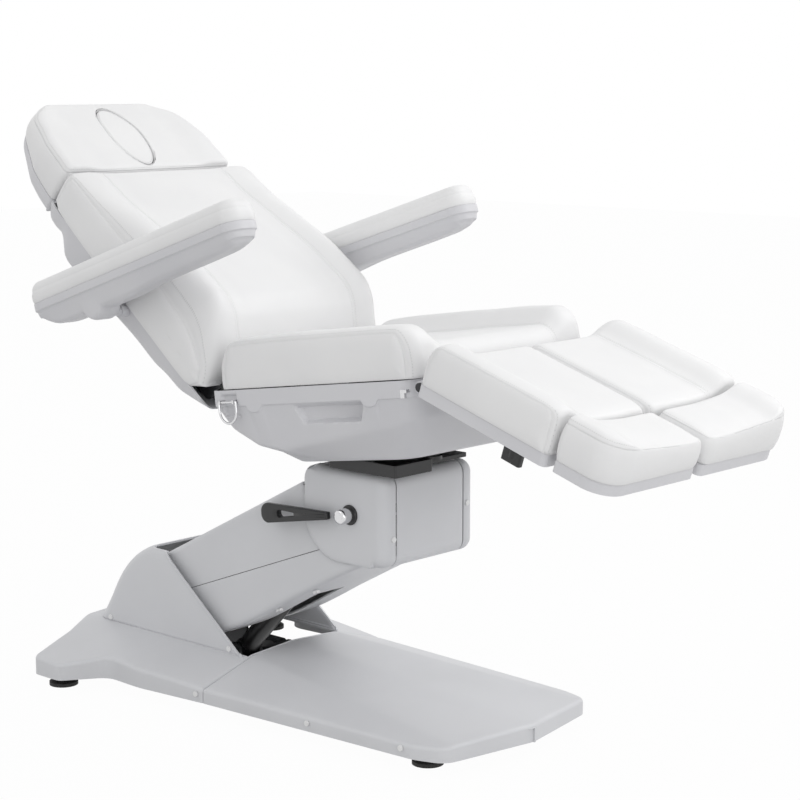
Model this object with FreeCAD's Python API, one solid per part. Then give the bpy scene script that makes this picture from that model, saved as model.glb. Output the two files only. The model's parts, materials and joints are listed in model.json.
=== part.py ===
import FreeCAD, Part
import math
import os
from FreeCAD import Placement, Rotation, Vector

# Podiatry chair in its working pose: seat raised, back reclined, leg rests lowered
# Millimetres, +X towards the feet, +Z up, floor at zero, symmetric about y = 0
os.makedirs("parts", exist_ok=True)

# Fits and general values
over = 60.0                 # how far a cutting tool runs past what it cuts
seat_gap = 0.3              # gap between curved faces that belong together
run_gap = 0.5               # gap between flat faces that slide past each other
pin_gap = 0.05              # radial running fit of a pin in its bore
wall = 4.0                  # moulded covers
sheet = 8.0                 # steel plates and ears
pin_r = 10.0                # main pivot pins
small_pin_r = 7.0           # pins of drives and links
eye_wall = 8.0              # metal left round a bore

# Where the chair stands and how its parts lean
swivel_x = 90.5
arm_length = 625.0          # between the arm's two pivots
arm_slope = 20.5
pivot_height = 183.0        # lower pivot above the floor
seat_rise = 175.0           # seat shell's underside above the arm's upper pivot
seat_tilt = 8.1
back_angle = 39.3
leg_slope = 18.0
armrest_slope = 18.0
armrest_splay_angle = 2.4

upper_x = swivel_x
upper_z = pivot_height + arm_length * math.sin(math.radians(arm_slope))
pivot_x = upper_x - arm_length * math.cos(math.radians(arm_slope))
seat_z = upper_z + seat_rise

# Base covers
foot_height = 30.0          # underside of the skirt above the floor
skirt_height = 30.0
base_rear = 240.0           # rear edge behind the lower pivot
base_length = 1219.0
base_seam = 299.0           # seam in front of the lower pivot
base_front_width = 492.0
base_seam_width = 552.0
base_rear_width = 600.0
stub_span = 760.0           # across the two outrigger stubs
stub_front = 5.0            # front of a stub from the lower pivot
stub_rear = 145.0
stub_width = 88.0           # along x at its end
stub_top = 66.0             # roof's edge, beyond the stubs' ends
front_point = 40.0          # how far the front edge's point stands out
corner_r = 45.0
stub_r = 24.0
crease_width = 290.0        # between the two side creases
ridge_height = 114.0        # centre ridge at the seam
crease_height = 106.0
front_ridge_height = 66.0
front_crease_height = 63.0
front_crease_width = 370.0
well_width = 276.0          # opening under the arm
cover_gap = 0.6
inlet_width = 28.0
inlet_height = 24.0
cap_r = 6.0                 # screw caps
cap_height = 3.0

# Hump cover
hump_width = 300.0
hump_top_height = 296.0
hump_foot_height = 104.0
hump_front = 284.0          # lower front corner in front of the lower pivot
hump_top_front = 38.0
hump_top_rear = 28.0
hump_rear = 205.0
hump_edge_r = 14.0
hump_top_r = 30.0

# Lift arm
arm_width = 260.0
arm_frame_width = 168.0
arm_frame_depth = 64.0
arm_rear_top = 92.0         # cover height above the pivot line at its rear
arm_front_top = 148.0
arm_rear_bottom = 116.0
arm_front_bottom = 62.0
arm_cover_rear = 50.0       # upper cover behind the lower pivot
lower_cover_start = 78.0    # lower cover in front of the lower pivot
arm_cover_front = 80.0      # upper cover ends this far short of the upper pivot
arm_edge_r = 12.0
clip_size = 8.0
arm_cross_r = 22.0
link_rise = 50.0            # level link above the arm's pivots
link_width = 14.0
link_depth = 20.0

# Lift drive
drive_base_x = 138.0        # its base pin from the lower pivot
drive_base_drop = 121.0
drive_arm_back = 195.0      # its arm pin behind the upper pivot
drive_arm_rise = 0.0
drive_r = 27.0
drive_rod_r = 12.0
open_pivot_gap = 7.0        # room round the pin where the closed chain is opened

# Housing on the arm's head
housing_front = 115.0       # from the swivel axis
housing_rear = 115.0
housing_width = 280.0
housing_top = 151.0         # above the upper pivot
housing_bottom = 40.0
housing_r = 24.0
housing_rear_r = 70.0
housing_edge_r = 20.0
panel_width = 206.0         # front cover between the side covers
head_frame_width = 238.0
head_frame_rear = 78.0
head_frame_front = 84.0

# Turntable and brake
ring_r = 82.0
ring_bore_r = 30.0
ring_height = 14.0
table_r = 92.0
table_height = 8.0
table_plate_length = 250.0
table_plate_width = 210.0
hub_x = 20.0                # brake hub in front of the swivel axis
hub_rise = 60.0             # above the upper pivot
hub_r = 16.5
hub_length = 34.0
brake_shaft_r = 7.0
handle_length = 150.0
handle_neck = 44.0
handle_tip_width = 38.0
handle_neck_width = 17.0
handle_thickness = 17.0
handle_slope = 4.0
box_front = 158.0           # control box from the swivel axis
box_length = 185.0
box_width = 112.0
box_height = 25.0
box_side = 154.0

# Seat, along its own slope
cushion_base = 162.0        # underside of the seat cushion above the shell's underside
seat_front = 337.0
seat_rear = 218.0
seat_width = 536.0
seat_thick = 90.0           # height of the side seam
seat_crest = 105.0
seat_centre = 64.0
shell_rim_width = 524.0
shell_rear = 250.0
shell_front = 318.0
shell_floor_front = 235.0
shell_floor_rear = 90.0
shell_floor_width = 380.0
shell_crease_width = 492.0
shell_crease_rear_height = 88.0
shell_crease_front_height = 122.0
shell_rear_floor_height = 91.0
floor_opening_front = 182.0
floor_opening_rear = 150.0
floor_opening_width = 332.0
rail_gauge = 300.0          # between the seat rails' centres
rail_width = 30.0
rail_low = 105.0
rail_high = 145.0
rail_rear = 225.0
cross_width = 30.0          # cross members of the seat and back
cross_drop = 25.0
jack_cross_drop = 24.0
tilt_lug_depth = 36.0
seat_draw = 8.0             # how far the sides pull in at the seam
tilt_x = 107.0              # tilt pivot behind the swivel axis
tilt_w = 29.0
jack_x = 125.0              # tilt jack in front of the swivel axis
jack_r = 20.0
jack_height = 70.0
jack_rod_r = 9.0
leg_hinge_x = 352.0
leg_hinge_w = 146.0
hinge_tube_r = 9.0
back_hinge_x = 265.0
back_hinge_w = 197.0
back_ear_y = 205.0
grip_length = 180.0
grip_height = 36.0
grip_x = 88.0
grip_w = 98.0
grip_depth = 28.0           # pocket behind the shell's wall
ring_x = 190.0              # D rings
ring_w = 136.0
ring_wire_r = 2.6
ring_width = 56.0
ring_drop = 44.0
staple_reach = 20.0         # half the staples' spacing
catch_x = 300.0
catch_w = 140.0
catch_size = 24.0

# Back drive, along the seat's slope
lever_drop = 75.0           # drive line below the back hinge
lever_length = 114.0
lever_slot_r = 9.5
lever_thick = 12.0
back_motor_x = 86.0         # rear end behind the swivel axis
back_motor_length = 180.0
back_motor_r = 26.0
back_rod_r = 8.0

# Back, along its own slope from its hinge
back_length = 586.0
back_width = 540.0
back_base = 50.0            # cushion's underside below the hinge
back_rail_gauge = 380.0
back_rail_high = 56.0
back_rail_low = 80.0
back_shell_width = 518.0
back_shell_floor_width = 470.0
back_shell_depth = 142.0    # deepest floor below the hinge
back_thick = 172.0          # cushion over its base at the loins
back_draw = 7.0
head_gap = 12.0

# Head rest
head_length = 254.0
head_width = 500.0
head_top_width = 314.0
head_base = 57.0
head_thick = 93.0
head_draw = 6.0
head_shell_depth = 42.0
head_bar_r = 9.0
head_bar_gauge = 160.0
hole_length = 206.0
hole_width = 100.0
hole_from_joint = 120.0

# Armrests, from their pivots
armrest_pivot_x = 262.0     # behind the back hinge
armrest_pivot_w = 67.0      # below it
armrest_y = 318.0
armrest_length = 715.0
armrest_tail = 203.0
armrest_width = 86.0
pad_height = 48.0
pad_base = 66.0
pad_r = 30.0
rim_height = 18.0
armrest_boss_r = 14.0
shell_tail_drop = 16.0
shell_nose_rise = 10.0

# Leg rests, from their hinge
leg_outer = 290.0
leg_inner = 5.0
leg_base = 13.0
leg_start = 6.0
leg_length = 322.0
leg_side = 84.0
leg_crest = 90.0
leg_centre = 60.0
leg_inner_crest = 70.0
leg_draw = 6.0
tray_depth = 26.0
tray_inset = 8.0
foot_gap = 10.0
foot_length = 134.0
foot_r = 56.0
foot_tray_depth = 23.0
foot_travel = 200.0
slide_r = 8.0
slide_gauge = 120.0
slide_length = 275.0
knob_along = 225.0
knob_r = 15.0
knob_height = 34.0
knob_stem = 8.0
knob_in = 50.0              # in from the outer edge

# Feet
foot_pad_r = 32.0
foot_pad_height = 16.0
stud_r = 6.0
chassis_tube = 40.0
front_foot_back = 129.0      # behind the tip
front_foot_in = 71.0        # in from the front edge's end
rear_foot_front = 33.0      # in front of the stub's rear
rear_foot_in = 58.0         # in from the stub's end

drive_arm_along = arm_length - drive_arm_back
knob_y = leg_outer - knob_in
front_foot_x = base_length - base_rear - front_foot_back
front_foot_y = base_front_width / 2 - front_foot_in
rear_foot_x = stub_rear - rear_foot_front
rear_foot_y = stub_span / 2 - rear_foot_in
hump_half = hump_width / 2
well_half = well_width / 2
housing_half = housing_width / 2
arm_half = arm_width / 2


# Helpers: wires, prisms, lofts
def on_plane(a, b, plane, level):
    if plane == "xy":
        return Vector(a, b, level)
    if plane == "xz":
        return Vector(a, level, b)
    return Vector(level, a, b)


def normal_of(plane):
    return on_plane(0, 0, plane, 1)


def rounded_wire(points, plane, level):
    """Closed outline through (a, b, radius) corners, each corner a tangent arc."""
    edges = []
    starts = []
    ends = []
    mids = []
    count = len(points)
    for i in range(count):
        a, b, radius = points[i]
        here = Vector(a, b, 0)
        before = Vector(points[i - 1][0], points[i - 1][1], 0) - here
        after = Vector(points[(i + 1) % count][0], points[(i + 1) % count][1], 0) - here
        reach_before = before.Length
        reach_after = after.Length
        before.normalize()
        after.normalize()
        if radius <= 0:
            starts.append(here)
            ends.append(here)
            mids.append(None)
            continue
        half = before.getAngle(after) / 2
        cut = min(radius / math.tan(half), reach_before / 2, reach_after / 2)
        radius = cut * math.tan(half)
        middle = before + after
        middle.normalize()
        centre = here + middle * (radius / math.sin(half))
        starts.append(here + before * cut)
        ends.append(here + after * cut)
        mids.append(centre - middle * radius)
    for i in range(count):
        if mids[i] is not None:
            arc = [on_plane(p.x, p.y, plane, level) for p in (starts[i], mids[i], ends[i])]
            edges.append(Part.Arc(*arc).toShape())
        a = ends[i]
        b = starts[(i + 1) % count]
        if (b - a).Length > seat_gap / 100:
            edges.append(Part.LineSegment(on_plane(a.x, a.y, plane, level),
                                          on_plane(b.x, b.y, plane, level)).toShape())
    return Part.Wire(edges)


def bulged_wire(points, plane, level):
    """Closed outline through (a, b, bulge); bulge is how far the next edge's arc stands out."""
    edges = []
    for i, (a, b, bulge) in enumerate(points):
        nxt = points[(i + 1) % len(points)]
        start = on_plane(a, b, plane, level)
        end = on_plane(nxt[0], nxt[1], plane, level)
        if bulge == 0:
            edges.append(Part.LineSegment(start, end).toShape())
            continue
        run = Vector(nxt[0] - a, nxt[1] - b, 0)
        side = Vector(run.y, -run.x, 0)
        side.normalize()
        mid = on_plane((a + nxt[0]) / 2 + side.x * bulge, (b + nxt[1]) / 2 + side.y * bulge,
                       plane, level)
        edges.append(Part.Arc(start, mid, end).toShape())
    return Part.Wire(edges)


def prism(wire, plane, thickness):
    return Part.Face(wire).extrude(normal_of(plane) * thickness)


def slab(points, plane, low, high):
    return prism(rounded_wire(points, plane, low), plane, high - low)


def block(x0, x1, y0, y1, z0, z1):
    return Part.makeBox(x1 - x0, y1 - y0, z1 - z0, Vector(x0, y0, z0))


def bar(start, end, radius):
    run = end - start
    return Part.makeCylinder(radius, run.Length, start, run)


def cross_bar(x, z, radius, y0, y1):
    return Part.makeCylinder(radius, y1 - y0, Vector(x, y0, z), Vector(0, 1, 0))


def post(x, y, z0, z1, radius):
    return Part.makeCylinder(radius, z1 - z0, Vector(x, y, z0))


def polygon(points):
    return Part.makePolygon(points + [points[0]])


def ruled(wires):
    return Part.makeLoft(wires, True, True)


def join(shapes):
    result = shapes[0]
    for shape in shapes[1:]:
        result = result.fuse(shape)
    return result.removeSplitter()


def mirrored(shape):
    return shape.mirror(Vector(0, 0, 0), Vector(0, 1, 0))


def frame_at(x, z, pitch, y=0.0, yaw=0.0):
    """Placement whose own x leans by pitch, positive with the nose down."""
    turn = Rotation(Vector(0, 0, 1), yaw).multiply(Rotation(Vector(0, 1, 0), pitch))
    return Placement(Vector(x, y, z), turn)


def moved(shape, placement):
    result = shape.copy()
    result.Placement = placement.multiply(result.Placement)
    return result


def save(name, shape):
    shape.exportStep("parts/" + name + ".step")
    print(name, len(shape.Solids), round(shape.Volume / 1000), "cm3", shape.isValid())


arm_place = frame_at(pivot_x, pivot_height, -arm_slope)
seat_place = frame_at(swivel_x, seat_z, -seat_tilt)


def seat_point(x, w, y=0.0):
    return seat_place.multVec(Vector(x, y, w))


back_origin = seat_point(-back_hinge_x, back_hinge_w)
back_place = frame_at(back_origin.x, back_origin.z, back_angle)
leg_origin = seat_point(leg_hinge_x, leg_hinge_w)
leg_place = frame_at(leg_origin.x, leg_origin.z, leg_slope)
armrest_origin = back_place.multVec(Vector(-armrest_pivot_x, 0, -armrest_pivot_w))


# Base covers: a sloped roof over a plan outline, hollow below
rear_x = pivot_x - base_rear
seam_x = pivot_x + base_seam
tip_x = rear_x + base_length
skirt_top = foot_height + skirt_height


def base_plan(inset):
    half_rear = base_rear_width / 2 - inset
    half_seam = base_seam_width / 2 - inset
    half_front = base_front_width / 2 - inset
    half_stub = stub_span / 2 - inset
    one_side = [
        (rear_x + inset, half_rear / 2, corner_r),
        (pivot_x - stub_rear - stub_r * 2 + inset, half_rear * 0.8, corner_r),
        (pivot_x - stub_rear + inset, half_stub, stub_r),
        (pivot_x - stub_rear + stub_width - inset, half_stub, stub_r),
        (pivot_x + stub_front - inset, half_rear - stub_r / 2, corner_r),
        (pivot_x + stub_front * 2 + corner_r * 2, half_rear - stub_r / 4, 0),
        (seam_x, half_seam, 0),
        (tip_x - front_point - corner_r * 1.5, half_front, corner_r * 2),
        (tip_x - front_point - inset, half_front - corner_r / 2, corner_r),
    ]
    other = [(x, -y, r) for x, y, r in reversed(one_side)]
    return one_side + [(tip_x - inset, 0, 0)] + other


def roof(inset):
    """Roof of the base: skirt, side slopes, creases and centre ridge, lofted along x."""
    def station(x, half, rim, crease_y, crease_z, ridge_z):
        low = 0 if inset else foot_height
        shape = [(-half, low), (-half, rim), (-crease_y, crease_z), (0, ridge_z),
                 (crease_y, crease_z), (half, rim), (half, low)]
        return polygon([Vector(x, y, z - (inset if z > low else 0)) for y, z in shape])
    crease_y = crease_width / 2
    front_y = front_crease_width / 2
    stub_share = (base_rear - stub_rear + stub_width) / (base_rear + base_seam)
    beyond = (stub_span - base_seam_width + stub_r * 2) / (1 - stub_share)
    rear_wire = station(rear_x - over, (base_seam_width + beyond) / 2, stub_top, crease_y, crease_height, ridge_height)
    seam_wire = station(seam_x, base_seam_width / 2, skirt_top, crease_y, crease_height, ridge_height)
    front_wire = station(tip_x, base_front_width / 2, skirt_top, front_y,
                         front_crease_height, front_ridge_height)
    return ruled([rear_wire, seam_wire]), ruled([seam_wire, front_wire])


def inlet_size():
    """Width, height and centre height of the mains inlet."""
    return inlet_width, inlet_height, hump_foot_height - inlet_height * 1.2


def make_base_covers():
    outline = slab(base_plan(0), "xy", 0, over * 3)
    inside = slab(base_plan(wall), "xy", 0, over * 3)
    rear_outer, front_outer = roof(0)
    rear_inner, front_inner = roof(wall)
    rear = rear_outer.common(outline).cut(rear_inner.common(inside))
    front = front_outer.common(outline).cut(front_inner.common(inside))
    well = block(pivot_x - hump_rear + wall * 2, seam_x + over, -well_half, well_half, foot_height, over * 3)
    inlet_w, inlet_h, inlet_z = inlet_size()
    rear = rear.cut(well).cut(block(rear_x - over, rear_x + over, -inlet_w / 2, inlet_w / 2,
                                    inlet_z - inlet_h / 2, inlet_z + inlet_h / 2))
    joint = block(seam_x - cover_gap, seam_x, -stub_span, stub_span, 0, over * 3)
    return rear.cut(joint), front


def base_fasteners():
    caps = []
    side_x = [seam_x - cap_r * 3, seam_x + base_seam, tip_x - corner_r * 3]
    for side in (-1, 1):
        for x in side_x:
            front_share = max(0.0, (x - seam_x) / (tip_x - front_point - corner_r * 1.5 - seam_x))
            rear_share = max(0.0, (seam_x - x) / (base_seam - stub_front * 2 - corner_r * 2))
            half = (base_seam_width + (base_front_width - base_seam_width) * front_share
                    + (base_rear_width - stub_r / 2 - base_seam_width) * rear_share) / 2
            y = side * (half + seat_gap + run_gap)
            caps.append(bar(Vector(x, y, foot_height + skirt_height * 0.6),
                            Vector(x, y + side * cap_height, foot_height + skirt_height * 0.6), cap_r))
        for x in (pivot_x - hump_rear + cap_r * 9, pivot_x + hump_front - cap_r * 6):
            y = side * (hump_half + seat_gap)
            z = hump_foot_height + cap_r * 1.6
            caps.append(bar(Vector(x, y, z), Vector(x, y + side * cap_height, z), cap_r))
    return Part.makeCompound(caps)


# Hump cover: side profile with a sloped front opening
def hump_profile(inset, open_front):
    front = pivot_x + hump_front
    shift = open_front * over
    low = hump_foot_height if inset == 0 else hump_foot_height - over
    return [
        (pivot_x - hump_rear + inset, low, 0),
        (pivot_x - hump_rear + inset + wall * 8, hump_foot_height + wall * 6, hump_top_r),
        (pivot_x - hump_top_rear * 3.9 + inset, hump_top_height - hump_top_r * 2.6 - inset, hump_top_r * 3),
        (pivot_x - hump_top_rear + inset / 2, hump_top_height - inset, hump_top_r),
        (pivot_x + hump_top_front + shift, hump_top_height - inset, 0),
        (front + shift, low, 0),
    ]


def make_hump():
    outer = slab(hump_profile(0, 0), "xz", -hump_half, hump_half)
    edges = [e for e in outer.Edges if e.BoundBox.YLength < seat_gap
             and e.BoundBox.ZMax > hump_foot_height + seat_gap
             and e.CenterOfMass.x < pivot_x + hump_top_front]
    outer = outer.makeFillet(hump_edge_r, edges)
    inner = slab(hump_profile(wall, 1), "xz", -hump_half + wall, hump_half - wall)
    inner_edges = [e for e in inner.Edges if e.BoundBox.YLength < seat_gap
                   and e.BoundBox.ZMax > hump_foot_height + seat_gap
                   and e.CenterOfMass.x < pivot_x + hump_top_front]
    inner = inner.makeFillet(hump_edge_r - wall, inner_edges)
    slot = arm_half + wall
    opening = block(pivot_x - hump_top_rear, pivot_x + hump_front, -slot, slot, pivot_height,
                    hump_top_height + over)
    rear_roof, front_roof = roof(-seat_gap)
    return outer.cut(inner).cut(opening).cut(rear_roof).cut(front_roof)


# Chassis: two long members, cross members, ears and foot bosses
ear_inner = arm_frame_width / 2 + run_gap
chassis_low = foot_height + wall
chassis_high = foot_height + wall * 7


def make_base_frame():
    tube = chassis_tube
    pieces = []
    for side in (-1, 1):
        y = side * (ear_inner + sheet + tube / 2)
        pieces.append(block(rear_x + tube, tip_x - tube * 3, y - tube / 2, y + tube / 2,
                            chassis_low, chassis_high))
        ear = slab([(pivot_x - tube, chassis_low, 0), (pivot_x + tube * 1.5, chassis_low, 0),
                    (pivot_x + tube * 0.8, pivot_height, tube / 2),
                    (pivot_x + small_pin_r * 2, pivot_height + link_rise + small_pin_r * 2, small_pin_r),
                    (pivot_x - small_pin_r * 2, pivot_height + link_rise + small_pin_r * 2, small_pin_r),
                    (pivot_x - tube * 0.8, pivot_height, tube / 2)],
                   "xz", 0, sheet)
        start = ear_inner if side > 0 else -ear_inner - sheet
        ear.translate(Vector(0, start, 0))
        pieces.append(ear)
    half = rear_foot_y + tube / 2
    rear_foot = pivot_x - rear_foot_x
    front_foot = pivot_x + front_foot_x
    pieces.append(block(rear_foot - tube / 2, rear_foot + tube / 2, -half, half,
                        chassis_low, chassis_low + wall * 2))
    pieces.append(block(front_foot - tube / 2, front_foot + tube / 2, -front_foot_y - tube / 2,
                        front_foot_y + tube / 2, chassis_low, chassis_low + wall * 3))
    drive_x = pivot_x + drive_base_x
    drive_z = pivot_height - drive_base_drop
    pieces.append(block(drive_x - tube, drive_x + tube, -ear_inner - sheet, ear_inner + sheet,
                        chassis_low, chassis_low + wall))
    for side in (-1, 1):
        y0 = drive_r + run_gap if side > 0 else -drive_r - run_gap - sheet
        lug = slab([(drive_x - tube / 2, chassis_low, 0), (drive_x + tube / 2, chassis_low, 0),
                    (drive_x + tube / 2, drive_z + tube / 2, tube / 3),
                    (drive_x - tube / 2, drive_z + tube / 2, tube / 3)], "xz", y0, y0 + sheet)
        pieces.append(lug)
    rail_y = ear_inner + sheet + tube / 2
    rear_roof, front_roof = roof(wall + seat_gap)
    for side in (-1, 1):
        for x in (seam_x + tube, tip_x - tube * 4):
            pieces.append(post(x, side * rail_y, chassis_low, over * 3, sheet).common(front_roof))
        pieces.append(post(rear_foot, side * (rear_foot_y - tube * 2), chassis_low, over * 3, sheet).common(rear_roof))
    frame = join(pieces)
    bores = [cross_bar(pivot_x, pivot_height, pin_r + pin_gap, -over * 3, over * 3),
             cross_bar(pivot_x, pivot_height + link_rise, small_pin_r + pin_gap, -over * 3, over * 3),
             cross_bar(drive_x, drive_z, small_pin_r + pin_gap, -over * 3, over * 3)]
    for x, y in foot_places():
        bores.append(post(x, y, 0, over * 2, stud_r + pin_gap))
    for bore in bores:
        frame = frame.cut(bore)
    return frame


def foot_places():
    rear = pivot_x - rear_foot_x
    front = pivot_x + front_foot_x
    return [(rear, -rear_foot_y), (rear, rear_foot_y), (front, -front_foot_y), (front, front_foot_y)]


def make_feet():
    pads = []
    studs = []
    for x, y in foot_places():
        centre = Vector(x, y, 0)
        up = Vector(0, 0, 1)
        half = foot_pad_height / 2
        pad = Part.makeCylinder(foot_pad_r, half, centre)
        dome = Part.makeCone(foot_pad_r, foot_pad_r * 0.6, half, centre + up * half)
        pads.append(pad.fuse(dome).cut(post(x, y, half, over, stud_r + pin_gap)))
        stud = post(x, y, foot_pad_height / 2, chassis_low + wall * 4, stud_r)
        nut = Part.Face(polygon([Vector(x + stud_r * 1.9 * math.cos(k * math.pi / 3),
                                        y + stud_r * 1.9 * math.sin(k * math.pi / 3), foot_pad_height)
                                 for k in range(6)])).extrude(Vector(0, 0, chassis_low - foot_pad_height))
        studs.append(stud.fuse(nut))
    return Part.makeCompound(pads), Part.makeCompound(studs)


def make_inlet():
    width, height, z = inlet_size()
    depth = height
    x = rear_x - wall / 2
    body = block(x, x + depth, -width / 2, width / 2, z - height / 2, z + height / 2)
    flange = block(x - wall / 2, x + wall / 2, -width, width, z - height * 0.7, z + height * 0.7)
    cavity = block(x - over, x + depth - wall, -width / 2 + wall / 2, width / 2 - wall / 2,
                   z - height / 2 + wall / 2, z + height / 2 - wall / 2)
    return body.fuse(flange).cut(cavity)


def make_base_pins():
    half = ear_inner + sheet
    drive_half = drive_r + run_gap + sheet
    drive_x = pivot_x + drive_base_x
    drive_z = pivot_height - drive_base_drop
    return Part.makeCompound([
        cross_bar(pivot_x, pivot_height, pin_r, -half, half),
        cross_bar(pivot_x, pivot_height + link_rise, small_pin_r, -half, half),
        cross_bar(drive_x, drive_z, small_pin_r, -drive_half, drive_half)])


# Lift arm: side plates and cross tubes, with two half shells
def arm_point(along, rise, y=0.0):
    return arm_place.multVec(Vector(along, y, rise))


def make_arm_frame():
    outer = arm_frame_width / 2
    half = arm_frame_depth / 2
    pieces = []
    for side in (-1, 1):
        plate = slab([(-half, -half, half), (arm_length + half, -half, half),
                      (arm_length + half, half, half), (-half, half, half)], "xz", 0, sheet)
        plate.translate(Vector(0, outer - sheet if side > 0 else -outer, 0))
        pieces.append(plate)
    inner = outer - sheet
    reach = arm_half - wall
    pieces.append(cross_bar(arm_length * 0.28, 0, arm_cross_r, -reach, reach))
    pieces.append(cross_bar(arm_length * 0.55, arm_cross_r * 0.6, arm_cross_r * 0.7, -reach, reach))
    sleeve = drive_rod_r + run_gap
    for y0, y1 in ((-inner, -sleeve), (sleeve, inner)):
        pieces.append(cross_bar(drive_arm_along, drive_arm_rise, small_pin_r * 2, y0, y1))
    pieces.append(cross_bar(drive_arm_along, drive_arm_rise, small_pin_r, -inner, inner))
    frame = join(pieces)
    for along, radius in ((0, pin_r), (arm_length, pin_r)):
        frame = frame.cut(cross_bar(along, 0, radius + pin_gap, -outer - over, outer + over))
    return moved(frame, arm_place)


def arm_rims(solid, side, shortest):
    """Long edges of an arm cover, away from the parting line."""
    return [e for e in solid.Edges if e.BoundBox.YLength < seat_gap
            and side * e.CenterOfMass.z > run_gap * 2 and e.Length > shortest]


def arm_cover(points, open_points, side, radius):
    outer = slab(points, "xz", -arm_half, arm_half)
    outer = outer.makeFillet(radius, arm_rims(outer, side, arm_edge_r * 4))
    inner = slab(open_points, "xz", -arm_half + wall, arm_half - wall)
    return outer.cut(inner)


def make_arm_covers():
    end_top = arm_length - arm_cover_front
    low_end = arm_length - arm_cover_front / 4
    upper = arm_cover(
        [(-arm_cover_rear, run_gap, 0), (-arm_cover_rear, arm_rear_top * 0.64, arm_rear_top * 0.4),
         (arm_rear_top * 0.2, arm_rear_top * 0.95, arm_rear_top * 0.4), (end_top, arm_front_top, arm_edge_r),
         (end_top, run_gap, 0)],
        [(-arm_cover_rear + wall, -over, 0),
         (-arm_cover_rear + wall, arm_rear_top * 0.64 - wall, arm_rear_top * 0.36),
         (arm_rear_top * 0.2, arm_rear_top * 0.95 - wall, arm_rear_top * 0.4),
         (end_top + over, arm_front_top, 0), (end_top + over, -over, 0)], 1, arm_edge_r)
    lower = arm_cover(
        [(lower_cover_start, -run_gap, 0), (low_end, -run_gap, 0),
         (low_end, -arm_front_bottom, arm_front_bottom / 2),
         (arm_length * 0.3, -arm_rear_bottom, arm_rear_bottom), (lower_cover_start, -arm_rear_bottom * 0.96, 0)],
        [(lower_cover_start - over, over, 0), (low_end + over, over, 0),
         (low_end + over, -arm_front_bottom * 0.86, 0),
         (arm_length * 0.3, -arm_rear_bottom + wall, arm_rear_bottom),
         (lower_cover_start - over, -arm_rear_bottom * 0.94 + wall, 0)], -1, arm_edge_r)
    slot = block(arm_length * 0.1, arm_length * 0.66, -drive_r * 1.6, drive_r * 1.6,
                 -arm_rear_bottom - over, -arm_front_bottom * 0.6)
    return moved(upper, arm_place), moved(lower.cut(slot), arm_place)


def make_arm_clips():
    clips = []
    clip = clip_size
    for share in (0.55, 0.75):
        along = arm_length * share
        drop = arm_rear_bottom + (arm_front_bottom - arm_rear_bottom) * (share - 0.3) / 0.67
        lug = block(along, along + clip * 1.6, -arm_half * 0.86, -arm_half * 0.86 + clip,
                    -drop - clip * 0.7, -drop - seat_gap)
        clips.append(lug)
    return moved(Part.makeCompound(clips), arm_place)


def make_level_link():
    start = Vector(pivot_x, 0, pivot_height + link_rise)
    place = frame_at(start.x, start.z, -arm_slope)
    eye_r = small_pin_r + eye_wall
    half = link_width / 2
    body = block(0, arm_length, -half, half, -link_depth / 2, link_depth / 2)
    link = join([body, cross_bar(0, 0, eye_r, -half, half), cross_bar(arm_length, 0, eye_r, -half, half)])
    link = link.cut(cross_bar(0, 0, small_pin_r + pin_gap, -over, over))
    link = link.cut(cross_bar(arm_length, 0, small_pin_r + seat_gap, -over, over))
    return moved(link, place)


def make_lift_drive():
    base = Vector(pivot_x + drive_base_x, 0, pivot_height - drive_base_drop)
    top = arm_point(drive_arm_along, drive_arm_rise)
    reach = (top - base).Length
    lean = math.degrees(math.atan2(top.z - base.z, top.x - base.x))
    place = frame_at(base.x, base.z, -lean)
    body_end = reach * 0.66
    motor = join([block(-drive_r * 0.56, drive_r, -drive_r, drive_r, -drive_r * 0.56, drive_r * 0.56),
                  bar(Vector(drive_r * 0.9, 0, 0), Vector(body_end, 0, 0), drive_r * 0.85)])
    motor = motor.cut(cross_bar(0, 0, small_pin_r + pin_gap, -over, over))
    motor = motor.cut(bar(Vector(drive_r * 1.4, 0, 0), Vector(body_end + over, 0, 0),
                          drive_rod_r + pin_gap))
    eye_bore = small_pin_r + open_pivot_gap
    half = drive_rod_r
    rod = join([bar(Vector(reach * 0.36, 0, 0), Vector(reach - eye_bore, 0, 0), drive_rod_r),
                cross_bar(reach, 0, eye_bore + eye_wall * 0.75, -half, half)])
    rod = rod.cut(cross_bar(reach, 0, eye_bore, -over, over))
    return moved(motor, place), moved(rod, place)


# Housing: rounded box shared by three covers
def housing_solid(inset):
    x0 = upper_x - housing_rear + inset
    x1 = upper_x + housing_front - inset
    z0 = upper_z - housing_bottom + inset
    z1 = upper_z + housing_top - inset
    solid = slab([(x0, z0, housing_rear_r - inset), (x1, z0, housing_r - inset),
                  (x1, z1, housing_r - inset), (x0, z1, wall)],
                 "xz", -housing_half + inset, housing_half - inset)
    edges = [e for e in solid.Edges if e.BoundBox.YLength < seat_gap and
             e.CenterOfMass.x > x0 + housing_r / 2]
    return solid.makeFillet(housing_edge_r - inset, edges)


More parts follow.
